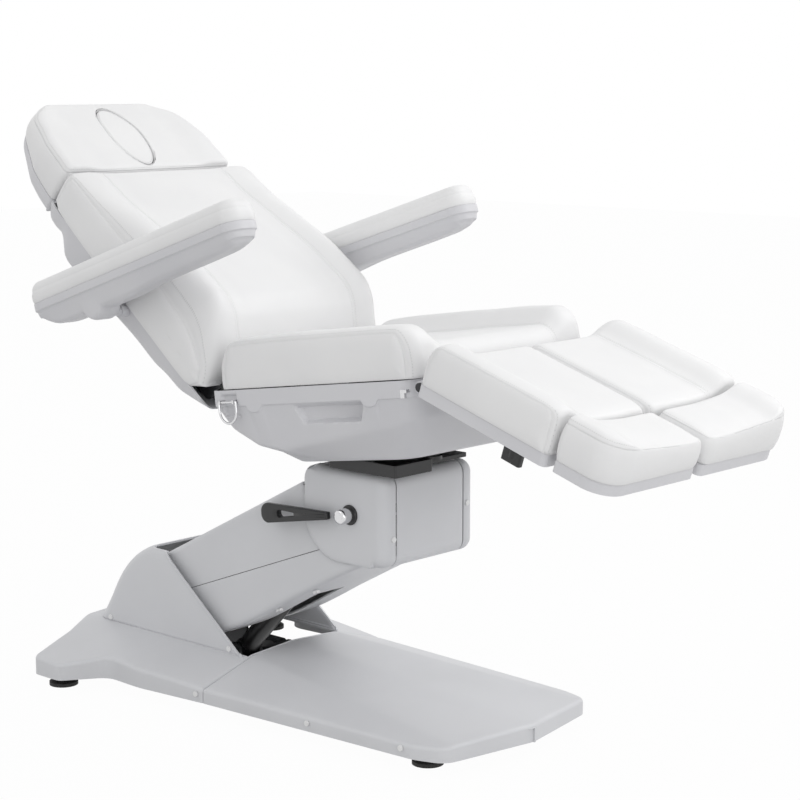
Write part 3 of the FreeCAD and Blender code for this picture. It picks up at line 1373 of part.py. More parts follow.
def make_armrest_brackets():
    """Boss plates on the back rails with the pins that carry the armrests."""
    pieces = []
    for side in (-1, 1):
        place = armrest_frame(side)
        reach = armrest_width / 2
        rim = back_shell_width / 2
        y_shell = side * (rim - armrest_y)
        inner = side * (back_rail_gauge / 2 + rail_width / 2 - armrest_y)
        y0, y1 = sorted((inner, 0))
        pin = cross_bar(0, 0, pin_r, y0, y1)
        y0, y1 = sorted((inner - side * wall * 2, -side * (reach + run_gap * 2)))
        boss = cross_bar(0, 0, armrest_boss_r, y0, y1)
        piece = moved(pin.fuse(boss).removeSplitter(), place)
        rails = back_rail_gauge / 2 + rail_width / 2
        pieces.append(piece.cut(block(pivot_x * 2, swivel_x, -rails, rails, 0, arm_length * 3)))
    return Part.makeCompound(pieces)


# Leg and foot rests
def leg_section(x, outer, inner, base, scale, draw):
    """Section of one leg cushion: tall outer side, shallow dish, low inner edge."""
    crest_y = outer - (outer - inner) * 0.14
    dish_y = outer - (outer - inner) * 0.33
    low_y = inner + (outer - inner) * 0.2
    swell = draw * 0.5
    return bulged_wire([(inner + draw / 2, base, 0), (outer - draw, base, swell),
                        (outer, base + leg_side * 0.5 * scale, swell),
                        (outer - draw, base + leg_side * scale, swell),
                        (crest_y, base + leg_crest * scale, -swell / 2),
                        (dish_y, base + leg_centre * 1.1 * scale, -swell),
                        (low_y, base + leg_centre * scale, swell),
                        (inner + draw / 2, base + leg_inner_crest * scale * 0.86, 0)], "yz", x)


def make_leg(side):
    draw = leg_draw
    end = leg_start + leg_length
    rows = [(leg_start, 0.72, draw / 2), (leg_start + draw * 2, 0.95, draw / 12),
            (leg_start + leg_length / 2, 1.0, 0.0), (end - draw * 2, 0.97, draw / 12), (end, 0.76, draw / 2)]
    cushion = ruled([leg_section(x, leg_outer - p, leg_inner + p, leg_base, s, draw) for x, s, p in rows])
    top = leg_base - run_gap
    low = leg_base - tray_depth
    outer = leg_outer - tray_inset
    inner = leg_inner + tray_inset / 2
    tray_end = end - tray_inset / 2
    start = leg_start
    tray = slab([(start, inner, wall), (tray_end, inner, wall * 2), (tray_end, outer, wall * 3),
                 (start, outer, wall * 2)], "xy", low, top)
    hollow = slab([(start + wall, inner + wall, wall), (tray_end - wall, inner + wall, wall),
                   (tray_end - wall, outer - wall, wall * 2), (start + wall, outer - wall, wall)],
                  "xy", low + wall, top + over)
    boss_y = (inner + outer) / 2
    tray = tray.cut(hollow)
    barrel = cross_bar(0, 0, hinge_tube_r + wall * 0.8, inner + sheet, outer - tray_inset * 1.5)
    web = block(0, start + wall, inner + sheet, outer - tray_inset * 1.5, low, top - wall)
    ear_notch = block(-over, hinge_tube_r * 2.2, rail_gauge / 2 - sheet, rail_gauge / 2 + sheet, -over, over)
    slide_w = low + wall + slide_r + wall
    guides = []
    for k in (-1, 1):
        y = boss_y + k * slide_gauge / 2
        guides.append(block(tray_end - slide_length * 0.35, tray_end, y - slide_r - wall, y + slide_r + wall,
                            low + wall / 2, slide_w + slide_r + wall / 2))
    tray = join([tray, barrel, web] + guides)
    tray = tray.cut(cross_bar(0, 0, hinge_tube_r, -over, leg_outer + over)).cut(ear_notch)
    for k in (-1, 1):
        y = boss_y + k * slide_gauge / 2
        tray = tray.cut(bar(Vector(tray_end - slide_length - wall, y, slide_w),
                            Vector(tray_end + over, y, slide_w), slide_r + pin_gap))
    stem_hole = post(knob_along, knob_y, low - over, low + wall * 2, stud_r + pin_gap)
    tray = tray.cut(stem_hole)
    knob_low = low - knob_stem - knob_height
    knob = join([post(knob_along, knob_y, knob_low + knob_height * 0.3, low - knob_stem * 0.4, knob_r * 0.6),
                 slab([(knob_along - knob_r * 1.5, knob_y - knob_r * 0.45, wall),
                       (knob_along + knob_r * 1.5, knob_y - knob_r * 0.45, wall),
                       (knob_along + knob_r * 1.5, knob_y + knob_r * 0.45, wall),
                       (knob_along - knob_r * 1.5, knob_y + knob_r * 0.45, wall)],
                      "xy", knob_low, knob_low + knob_height * 0.7),
                 post(knob_along, knob_y, low - knob_stem * 0.4, low + wall, stud_r)])
    foot_start = end + foot_gap
    foot_end = foot_start + foot_length
    foot_rows = [(foot_start, 0.74, draw / 2), (foot_start + draw * 2, 0.95, draw / 12),
                 (foot_end - foot_r * 0.7, 0.97, 0.0)]
    wires = [leg_section(x, leg_outer - p, leg_inner + p, leg_base, s, draw) for x, s, p in foot_rows]
    nose = [(foot_end - foot_r * 0.25, 0.92, foot_r * 0.42), (foot_end, 0.7, foot_r * 0.95)]
    for x, s, pull in nose:
        wires.append(leg_section(x, leg_outer - pull, leg_inner + draw / 2, leg_base, s, draw))
    foot_cushion = ruled(wires)
    foot_outer = leg_outer - tray_inset
    foot_low = leg_base - foot_tray_depth
    foot_tray = slab([(foot_start + wall, inner, wall), (foot_end - wall * 2, inner, wall * 3),
                      (foot_end - wall * 2, foot_outer, foot_r), (foot_start + wall, foot_outer, wall * 2)],
                     "xy", foot_low, top)
    slides = []
    for k in (-1, 1):
        y = boss_y + k * slide_gauge / 2
        slides.append(bar(Vector(foot_start + wall * 4 - slide_length, y, slide_w),
                          Vector(foot_start + wall * 4, y, slide_w), slide_r))
    foot_tray = join([foot_tray] + slides)
    shapes = {"leg_cushion": cushion, "leg_tray": tray, "leg_knob": knob,
              "foot_cushion": foot_cushion, "foot_tray": foot_tray}
    result = {}
    for name, shape in shapes.items():
        group, piece = name.split("_")
        word = "left" if side > 0 else "right"
        solid = shape if side > 0 else mirrored(shape)
        result[group + "_" + word + "_" + piece] = moved(solid, leg_place)
    return result


rear_cover, front_cover = make_base_covers()
save("rear_base_cover", rear_cover)
save("front_base_cover", front_cover)
save("hump_cover", make_hump())
save("base_frame", make_base_frame())
pads, studs = make_feet()
save("foot_pads", pads)
save("foot_studs", studs)
save("cover_screw_caps", base_fasteners())
save("mains_inlet", make_inlet())
save("arm_pivot_pins", make_base_pins())
lift_motor, lift_rod = make_lift_drive()
save("lift_motor", lift_motor)
save("lift_rod", lift_rod)
save("level_link", make_level_link())
save("arm_frame", make_arm_frame())
upper_cover, lower_cover = make_arm_covers()
save("arm_upper_cover", upper_cover)
save("arm_lower_cover", lower_cover)
save("arm_clips", make_arm_clips())
right_cover, left_cover, panel = make_housing()
save("housing_right_cover", right_cover)
save("housing_left_cover", left_cover)
save("housing_front_cover", panel)
save("housing_screw_caps", make_housing_caps())
save("head_frame", make_head_frame())
ring, table = make_turntable()
save("turntable_ring", ring)
save("turntable_plate", table)
save("control_box", make_control_box())
hub, handle = make_brake()
save("brake_hub", hub)
save("brake_handle", handle)
save("seat_shell", make_seat_shell())
save("seat_cushion", make_seat_cushion())
save("seat_frame", make_seat_frame())
jack_body, jack_rod = make_tilt_jack()
save("tilt_jack_body", jack_body)
save("tilt_jack_rod", jack_rod)
staples, rings, catches = make_seat_fittings()
save("ring_staples", staples)
save("side_catches", catches)
for name, shape in rings.items():
    save(name, shape)
back_motor, back_rod = make_back_drive()
save("back_motor", back_motor)
save("back_rod", back_rod)
save("back_frame", make_back_frame())
save("back_cushion", make_back_cushion())
save("back_shell", make_back_shell())
head_cushion, face_plug, head_shell, head_rails = make_head()
save("head_cushion", head_cushion)
save("face_plug", face_plug)
save("head_shell", head_shell)
save("head_rails", head_rails)
save("armrest_brackets", make_armrest_brackets())
for side, word in ((-1, "right"), (1, "left")):
    pad, body = make_armrest(side)
    save("armrest_" + word + "_pad", pad)
    save("armrest_" + word + "_shell", body)
    for name, shape in make_leg(side).items():
        save(name, shape)
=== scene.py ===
import bmesh
import bpy
import json
import math
import numpy as np
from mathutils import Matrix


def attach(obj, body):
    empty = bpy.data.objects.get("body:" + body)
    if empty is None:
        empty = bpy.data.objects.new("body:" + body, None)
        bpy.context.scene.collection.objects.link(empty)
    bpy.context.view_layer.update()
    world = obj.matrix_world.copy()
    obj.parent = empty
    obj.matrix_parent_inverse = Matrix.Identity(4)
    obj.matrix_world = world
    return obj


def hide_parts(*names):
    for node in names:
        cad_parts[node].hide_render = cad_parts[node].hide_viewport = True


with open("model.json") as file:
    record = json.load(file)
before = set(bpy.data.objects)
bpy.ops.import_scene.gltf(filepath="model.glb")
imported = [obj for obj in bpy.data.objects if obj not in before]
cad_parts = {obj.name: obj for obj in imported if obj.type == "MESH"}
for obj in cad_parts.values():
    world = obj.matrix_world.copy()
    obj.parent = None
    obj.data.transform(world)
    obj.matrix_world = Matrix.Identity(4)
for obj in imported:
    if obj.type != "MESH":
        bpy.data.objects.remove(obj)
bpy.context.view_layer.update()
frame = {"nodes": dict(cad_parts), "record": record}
nodes = frame["nodes"]
print("frame loaded", len(nodes), "nodes")

mm = 0.001
rightAngle = math.pi / 2
sides = {"right": -1, "left": 1}

# Where the carried parts sit, in millimetres and degrees, as the CAD source places them
seatFrame = {"x": 90.5, "z": 576.9, "pitch": -8.1}
backFrame = {"x": -199.6, "z": 734.6, "pitch": 39.3}
legFrame = {"x": 418.4, "z": 771.0, "pitch": 18.0}
ground = {"x": 0.0, "z": 0.0, "pitch": 0.0}


def smoothStep(t):
    # 3 t^2 - 2 t^3, level outside 0 to 1
    t = np.clip(t, 0.0, 1.0)
    return t * t * (3.0 - 2.0 * t)


def quarter(t):
    # quarter of an ellipse, the root of 1 - (1 - t)^2: upright at zero and level at one
    t = np.clip(t, 0.0, 1.0)
    return np.sqrt(1.0 - (1.0 - t) ** 2)


def curveThrough(xs, ys, x):
    # monotone cubic through the stations, with harmonic mean slopes
    xs = np.asarray(xs, float)
    ys = np.asarray(ys, float)
    x = np.clip(x, xs[0], xs[-1])
    h = np.diff(xs)
    d = np.diff(ys) / h
    m = np.zeros_like(ys)
    same = d[:-1] * d[1:] > 0
    weightA = 2 * h[1:] + h[:-1]
    weightB = h[1:] + 2 * h[:-1]
    safeA = np.where(same, d[:-1], 1.0)
    safeB = np.where(same, d[1:], 1.0)
    m[1:-1] = np.where(same, (weightA + weightB) / (weightA / safeA + weightB / safeB), 0.0)
    m[0] = d[0]
    m[-1] = d[-1]
    k = np.clip(np.searchsorted(xs, x, side="right") - 1, 0, len(h) - 1)
    t = (x - xs[k]) / h[k]
    return (ys[k] * (1 + 2 * t) * (1 - t) ** 2 + m[k] * h[k] * t * (1 - t) ** 2
            + ys[k + 1] * t * t * (3 - 2 * t) + m[k + 1] * h[k] * t * t * (t - 1))


def stacked(*parts):
    # numbers and arrays, spread to one shape, as the coordinates of points
    return np.stack(np.broadcast_arrays(*parts), -1)


def runAlong(line):
    # distance run along a line of points
    return np.concatenate([[0], np.cumsum(np.linalg.norm(np.diff(line, axis=0), axis=1))])


def outlineNormals(outline):
    # at each point of a closed outline, the way from its last to its next neighbour, turned outwards
    ahead = np.roll(outline, -1, 0) - np.roll(outline, 1, 0)
    normal = stacked(ahead[:, 1], -ahead[:, 0])
    normal /= np.linalg.norm(normal, axis=1)[:, None]
    x, y = outline[:, 0], outline[:, 1]
    area = np.sum(x * np.roll(y, -1) - np.roll(x, -1) * y)
    return -normal if area < 0 else normal


def placed(points, place, yaw=0.0, y=0.0):
    # turn by pitch about y, nose down, then by yaw about z, then shift; millimetres to metres
    pitch = math.radians(place["pitch"])
    turn = math.radians(yaw)
    ahead = points[..., 0] * math.cos(pitch) + points[..., 2] * math.sin(pitch)
    up = -points[..., 0] * math.sin(pitch) + points[..., 2] * math.cos(pitch)
    beside = points[..., 1]
    return stacked(ahead * math.cos(turn) - beside * math.sin(turn) + place["x"],
                   ahead * math.sin(turn) + beside * math.cos(turn) + y, up + place["z"]) * mm


def gridQuads(rows, cols, loopRows=False, loopCols=False):
    # the four corner numbers of each cell; a loop joins the last line to the first
    i = np.arange(rows if loopRows else rows - 1)
    j = np.arange(cols if loopCols else cols - 1)
    i, j = np.meshgrid(i, j, indexing="ij")
    row, nextRow = i * cols, (i + 1) % rows * cols
    nextCol = (j + 1) % cols
    return stacked(row + j, row + nextCol, nextRow + nextCol, nextRow + j).reshape(-1, 4)


def asGrid(skin, **loops):
    # a grid of points as a plain list with its faces
    return skin.reshape(-1, 3), gridQuads(*skin.shape[:2], **loops)


def meshPiece(name, points, quads, uv=None):
    # vertices and faces go in as whole arrays; uv is one pair per vertex
    quads = np.asarray(quads, np.int32)
    loops = quads.ravel()
    mesh = bpy.data.meshes.new(name)
    mesh.vertices.add(len(points))
    mesh.vertices.foreach_set("co", np.asarray(points, np.float32).ravel())
    mesh.loops.add(len(loops))
    mesh.loops.foreach_set("vertex_index", loops)
    mesh.polygons.add(len(quads))
    mesh.polygons.foreach_set("loop_start", np.arange(len(quads), dtype=np.int32) * 4)
    mesh.polygons.foreach_set("loop_total", np.full(len(quads), 4, np.int32))
    mesh.update(calc_edges=True)
    mesh.validate()
    mesh.polygons.foreach_set("use_smooth", np.ones(len(mesh.polygons), bool))
    if uv is not None:
        layer = mesh.uv_layers.new(name="seams")
        layer.data.foreach_set("uv", np.asarray(uv, np.float32)[loops].ravel())
    piece = bpy.data.objects.new(name, mesh)
    bpy.context.scene.collection.objects.link(piece)
    weldAndTurn(piece)
    return piece


def weldAndTurn(piece, reach=0.00002):
    # merge the points of middle lines and poles, then turn every face outwards
    work = bmesh.new()
    work.from_mesh(piece.data)
    bmesh.ops.remove_doubles(work, verts=work.verts, dist=reach)
    bmesh.ops.recalc_face_normals(work, faces=work.faces)
    work.to_mesh(piece.data)
    work.free()
    piece.data.update()


def newMaterial(name, look):
    # a Principled material with the look's metal, sheen and mirror shares
    made = bpy.data.materials.new(name)
    made.use_nodes = True
    shader = made.node_tree.nodes["Principled BSDF"]
    shader.inputs["Metallic"].default_value = look.get("metallic", 0.0)
    shader.inputs["Sheen Weight"].default_value = look.get("sheen", 0.0)
    shader.inputs["Specular IOR Level"].default_value = look.get("specular", 0.5)
    return made, made.node_tree, shader


def newNode(tree, kind, inputs, **settings):
    # a node with its settings made, and each input linked to a socket or set to a value
    node = tree.nodes.new("ShaderNode" + kind)
    for word, value in settings.items():
        setattr(node, word, value)
    for socket, value in inputs.items():
        if isinstance(value, bpy.types.NodeSocket):
            tree.links.new(value, node.inputs[socket])
        else:
            node.inputs[socket].default_value = value
    return node


def noiseNode(tree, coords, scale, detail, rough=0.5):
    return newNode(tree, "TexNoise", {"Vector": coords, "Scale": scale, "Detail": detail,
                                      "Roughness": rough}).outputs["Fac"]


def rangeNode(tree, value, low, high, toLow=0.0, toHigh=1.0):
    return newNode(tree, "MapRange", {"Value": value, "From Min": low, "From Max": high, "To Min": toLow,
                                      "To Max": toHigh}).outputs["Result"]


def mathNode(tree, kind, a, b=0.0):
    return newNode(tree, "Math", {0: a, 1: b}, operation=kind).outputs["Value"]


def mixColour(tree, factor, first, second):
    colours = {6: first, 7: (*second, 1.0)}
    return newNode(tree, "Mix", {"Factor": factor, **colours}, data_type="RGBA").outputs[2]


def bumpNode(tree, height, strength, distance, previous=None):
    inputs = {"Height": height, "Strength": strength, "Distance": distance}
    if previous is not None:
        inputs["Normal"] = previous
    return newNode(tree, "Bump", inputs).outputs["Normal"]


# Middle parts of the slow and the fine noise, which are spread over the tones and the roughness
slowBand = (0.35, 0.65)
fineBand = (0.3, 0.7)
plainPatch = 4.0
plainRelief = 0.0002


def twoTones(tree, coords, look):
    # the look's two tones mixed by slow noise
    slow = noiseNode(tree, coords, look.get("patch", plainPatch), 3.0)
    first, second = look["tones"]
    return mixColour(tree, rangeNode(tree, slow, *slowBand), (*first, 1.0), second)


def fineGrain(tree, coords, look, shader, detail):
    # fine noise, which also sets the roughness between the look's two values
    fine = noiseNode(tree, coords, look["grain"], detail, 0.6)
    tree.links.new(rangeNode(tree, fine, *fineBand, *look["rough"]), shader.inputs["Roughness"])
    return fine


def plainFinish(name, look):
    # moulded or coated finish: two slow tones, fine noise in the roughness and the bump
    made, tree, shader = newMaterial(name, look)
    coords = newNode(tree, "TexCoord", {}).outputs["Object"]
    fine = fineGrain(tree, coords, look, shader, 2.0)
    tree.links.new(twoTones(tree, coords, look), shader.inputs["Base Color"])
    tree.links.new(bumpNode(tree, fine, look["bump"], plainRelief), shader.inputs["Normal"])
    return made


leather = {
    "tones": ((0.785, 0.785, 0.79), (0.815, 0.815, 0.817)), "rough": (0.42, 0.56), "patch": 5.0,
    "specular": 0.42, "sheen": 0.06, "cells": 620.0, "cellEdge": 0.25, "cellBump": (0.16, 0.00025),
    "grain": 380.0, "grainBump": (0.12, 0.0004),
    "stitchFrom": 4.6, "stitchWide": 0.75, "stitchStep": 5.0, "dash": (0.40, 0.34),
    # painted shade: the hole tone and its share darken the stitches' needle holes
    "stitchBump": (0.7, 0.0006), "paintedHoleShadeTone": (0.45, 0.45, 0.46), "paintedHoleShadeShare": 0.5,
}


def leatherFinish(name, look):
    # grained coated fabric: pebbled cells and fine noise in the bump, and stitches beside the seams, with
    # painted shade darkening their needle holes
    made, tree, shader = newMaterial(name, look)
    coords = newNode(tree, "TexCoord", {}).outputs["Object"]
    base = twoTones(tree, coords, look)
    cells = newNode(tree, "TexVoronoi", {"Vector": coords, "Scale": look["cells"]},
                    feature="DISTANCE_TO_EDGE")
    pebble = rangeNode(tree, cells.outputs["Distance"], 0.0, look["cellEdge"])
    fine = fineGrain(tree, coords, look, shader, 3.0)
    grain = bumpNode(tree, pebble, *look["cellBump"])
    grain = bumpNode(tree, fine, *look["grainBump"], grain)
    # u is the run along a seam and v the distance from it: a dash of thread is set in at every step
    seam = newNode(tree, "SeparateXYZ", {0: newNode(tree, "UVMap", {}, uv_map="seams").outputs["UV"]}).outputs
    wide = look["stitchWide"] * mm
    off = mathNode(tree, "ABSOLUTE", mathNode(tree, "SUBTRACT", seam["Y"], look["stitchFrom"] * mm))
    across = rangeNode(tree, off, wide, wide * 0.4)
    step = mathNode(tree, "FRACT", mathNode(tree, "DIVIDE", seam["X"], look["stitchStep"] * mm))
    dash = rangeNode(tree, mathNode(tree, "ABSOLUTE", mathNode(tree, "SUBTRACT", step, 0.5)), *look["dash"])
    thread = mathNode(tree, "MULTIPLY", across, dash)
    hole = mathNode(tree, "MULTIPLY", across, rangeNode(tree, dash, 0.5, 0.0))
    # painted shade: the colour is darkened in the needle holes between the dashes, where shade falls
    shade = mathNode(tree, "MULTIPLY", hole, look["paintedHoleShadeShare"])
    tree.links.new(mixColour(tree, shade, base, look["paintedHoleShadeTone"]), shader.inputs["Base Color"])
    raised = mathNode(tree, "SUBTRACT", thread, hole)
    tree.links.new(bumpNode(tree, raised, *look["stitchBump"], grain), shader.inputs["Normal"])
    return made


plainLooks = {
    "light_plastic": ("paleShellPlastic", {
        "tones": ((0.625, 0.625, 0.65), (0.65, 0.65, 0.67)), "rough": (0.38, 0.48), "grain": 900.0,
        "bump": 0.05}),
    "grey_plastic": ("greyCoverPlastic", {
        "tones": ((0.63, 0.635, 0.655), (0.66, 0.665, 0.685)), "rough": (0.36, 0.46), "grain": 800.0,
        "bump": 0.06}),
    "black_plastic": ("blackPlastic", {
        "tones": ((0.012, 0.012, 0.013), (0.02, 0.02, 0.021)), "rough": (0.3, 0.42), "grain": 700.0,
        "bump": 0.08}),
    "black_rubber": ("footRubber", {
        "tones": ((0.014, 0.014, 0.014), (0.026, 0.025, 0.024)), "rough": (0.6, 0.8), "grain": 500.0,
        "bump": 0.15}),
    "white_caps": ("capPlastic", {
        "tones": ((0.78, 0.78, 0.78), (0.82, 0.82, 0.82)), "rough": (0.3, 0.4), "grain": 900.0,
        "bump": 0.04}),
    "dark_steel": ("coatedSteel", {
        "tones": ((0.020, 0.021, 0.023), (0.034, 0.035, 0.038)), "rough": (0.42, 0.6), "grain": 600.0,
        "bump": 0.12, "metallic": 0.2}),
    "steel_rod": ("groundSteel", {
        "tones": ((0.50, 0.50, 0.51), (0.60, 0.60, 0.61)), "rough": (0.16, 0.28), "grain": 1500.0,
        "bump": 0.05, "metallic": 1.0}),
    "chrome_metal": ("chromedSteel", {
        "tones": ((0.66, 0.66, 0.67), (0.74, 0.74, 0.75)), "rough": (0.08, 0.16), "grain": 300.0,
        "bump": 0.02, "metallic": 1.0}),
}
finishes = {slot: plainFinish(*entry) for slot, entry in plainLooks.items()}
finishes["upholstery"] = leatherFinish("whiteCoatedFabric", leather)
slotOf = {entry["node"]: entry["material_slot"] for entry in frame["record"]["subparts"]}
for name, thing in nodes.items():
    if slotOf.get(name) in finishes:
        thing.data.materials.clear()
        thing.data.materials.append(finishes[slotOf[name]])
print("finishes set", len(slotOf))


def dress(piece, slot, body, *replaced):
    # finish, body and slot of a piece, and the nodes that it stands for
    piece.data.materials.append(finishes[slot])
    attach(piece, body)
    if replaced:
        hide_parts(*replaced)
    return piece


# Foam and sewing of the cushions, in millimetres: the spacing of points, the pressed seam lines, the
# pull at the side seams, the slow waves, the puckers, and the distances given where nothing is sewn
foam = {"step": 7.0, "closest": 0.35, "grooveHalf": 2.0, "pinch": 1.5, "waveHigh": 0.45, "puckerHigh": 0.28,
        "puckerReach": 14.0, "topFade": 40.0, "sideOff": 30.0, "topOff": 60.0}
panelRings = np.array([0.985, 0.965, 0.93, 0.86, 0.76, 0.62, 0.42, 0.2, 0.0])
mirrorY = np.array([1.0, -1.0, 1.0])


def edgeSteps(length, radii, marks):
    # distances from 0 to length, close together in the rounded edges and beside the marks
    turn = np.linspace(0, rightAngle, 11)
    first = radii[0] * (1 - np.cos(turn))
    last = length - radii[1] * (1 - np.cos(turn))
    middle = np.arange(radii[0] + foam["step"], length - radii[1] - foam["step"] * 0.5, foam["step"])
    near = np.array([-6.0, -4.0, -2.6, -1.5, -0.7, 0.0, 0.7, 1.5, 2.6, 4.0, 6.0])
    atSeam = np.array([0.6, 1.3, 2.4, 4.6])
    every = np.concatenate([[0.0], atSeam, first, middle, *[mark + near for mark in marks], last,
                            length - atSeam, [length]])
    every = np.sort(every[(every >= 0) & (every <= length)])
    every = every[np.concatenate([[True], np.diff(every) > foam["closest"]])]
    every[-1] = length
    return every


def sideOutline(form, x0, x1):
    # one row per point of the closed side outline: up the rear face, over the top, down the front face
    # and back along the base; x, the drop from the crest, and the lift from 0 at the base to 1 (-1 under it)
    rearR, frontR = form["endR"]
    up = np.linspace(0, 1, 9)[:-1]
    arc = np.linspace(0, rightAngle, 10)
    back = arc[::-1]
    top = np.arange(x0 + rearR + 6.0, x1 - frontR - 3.0, foam["step"])
    under = np.linspace(x1, x0, 26)[1:-1]
    x = [np.full(len(up), x0), x0 + rearR * (1 - np.cos(arc)), top, x1 - frontR * (1 - np.cos(back)),
         np.full(len(up), x1), under]
    drop = [np.zeros(len(up)), rearR * (1 - np.sin(arc)), np.zeros(len(top)), frontR * (1 - np.sin(back)),
            np.zeros(len(up) + len(under))]
    lift = [up, np.ones(2 * len(arc) + len(top)), up[::-1], np.full(len(under), -1.0)]
    return [np.concatenate(part)[:, None] for part in (x, drop, lift)]


def sweptPad(name, form, place, mirror=False):
    # the side outline carried from side to side. The height goes from the side seam to the crest line by
    # quarter(distance from one side) * quarter(distance from the other), less the pressed seam lines,
    # plus sine waves of the foam and puckers that fade from the seams; the sides are domed panels
    stations = np.array(form["stations"], float)      # x, base, seam, crest, centre
    x0, x1 = stations[0, 0], stations[-1, 0]
    sideR, cornerR = form["sideR"], form["cornerR"]
    span = form["outer"] - form["inner"]
    across = edgeSteps(span, sideR, form["seams"])
    share = across / span
    toInner, toOuter = across, span - across
    y = form["inner"] + across
    x, drop, lift = sideOutline(form, x0, x1)
    atRear = x < (x0 + x1) / 2
    base, seam, crest, centre = (curveThrough(stations[:, 0], stations[:, k], x) for k in range(1, 5))
    seam = seam - form.get("innerLow", 0.0) * (1 - smoothStep(share / 0.5))
    inside = centre + (crest - centre) * curveThrough(*zip(*form["across"]), share)
    edge = quarter(toInner / sideR[0]) * quarter(toOuter / sideR[1])
    high = seam + (inside - seam) * edge
    pressed = sum(np.exp(-((across - mark) / foam["grooveHalf"]) ** 2) for mark in form["seams"])
    onTop = smoothStep((x - x0) / foam["topFade"]) * smoothStep((x1 - x) / foam["topFade"])
    high = high - form["grooveDeep"] * pressed * onTop
    waves = np.sin(x / 47.0 + 1.3) * np.sin(y / 39.0 + 0.7) + 0.6 * np.sin(x / 23.0 - y / 31.0)
    nearSeam = np.exp(-np.minimum(toInner, toOuter) / foam["puckerReach"])
    pucker = np.sin(x / 3.1 + 2.0 * np.sin(x / 37.0)) * nearSeam
    high = high + (foam["waveHigh"] * waves + foam["puckerHigh"] * pucker) * edge ** 0.5
    # end faces rise straight, and turn into the top on the end radius
    endR = np.where(atRear, *form["endR"])
    limit = np.minimum(endR, (high - base) * 0.92)
    face = base + (high - base - limit) * lift
    arched = high - drop * limit / endR
    height = np.where(lift < 0, base, np.where(lift < 1, face, arched))
    # in plan the corners round off, the end faces swell and the sides pull in at the seam
    nearEnd = 1 - smoothStep(np.minimum(x - x0, x1 - x) / (cornerR * 2.2))
    cut = cornerR * (1 - quarter(toInner / cornerR) * quarter(toOuter / cornerR))
    swell = form.get("endSwell", 3.0) * np.sin(math.pi * np.clip(lift, 0, 1)) * (lift >= 0)
    planX = x + np.where(atRear, 1.0, -1.0) * (nearEnd * cut - swell * edge)
    planY = y + foam["pinch"] * (np.exp(-toInner / 0.9) - np.exp(-toOuter / 0.9))
    points = stacked(planX, planY, height)
    rows, cols = points.shape[:2]
    run = runAlong(points[:, 0])
    nearest = np.min([toInner, toOuter] + [np.abs(across - mark) for mark in form["seams"]], axis=0)
    uv = [stacked(run[:, None], np.where(lift >= 0, nearest, foam["sideOff"])).reshape(-1, 2)]
    quads = [gridQuads(rows, cols, loopRows=True)]
    verts = [points.reshape(-1, 3)]
    for column, outward in ((0, -1.0), (cols - 1, 1.0)):
        # side panel: rings that shrink from the rim onto a middle line, domed outwards by draw
        rim = points[:, column]
        half = (rim[:, 2].max() - rim[:, 2].min()) / 2 * 0.8
        lineX = np.clip(rim[:, 0], rim[:, 0].min() + half, rim[:, 0].max() - half)
        lineZ = np.interp(lineX, stations[:, 0], (stations[:, 1] + stations[:, 2]) / 2)
        line = stacked(lineX, rim[:, 1], lineZ)
        panel = line + (rim - line) * panelRings[:, None, None]
        dome = form["draw"] * (1 - panelRings ** 3.0) ** 0.75
        panel[..., 1] = rim[:, 1] + outward * (foam["pinch"] + dome[:, None])
        first = sum(len(part) for part in verts)
        ringIds = np.arange(panel[..., 0].size).reshape(-1, rows) + first
        ids = np.vstack([np.arange(rows) * cols + column, ringIds])
        beside = np.roll(ids, -1, axis=1)
        band = stacked(ids[:-1], beside[:-1], beside[1:], ids[1:]).reshape(-1, 4)
        quads.append(band if outward > 0 else band[:, ::-1])
        verts.append(panel.reshape(-1, 3))
        away = np.linalg.norm(panel - rim, axis=2)
        uv.append(stacked(run, foam["sideOff"] + away).reshape(-1, 2))
    points = np.concatenate(verts)
    quads = np.concatenate(quads)
    if mirror:
        points = points * mirrorY
        quads = quads[:, ::-1]
    return meshPiece(name, placed(points, place), quads, np.concatenate(uv) * mm)


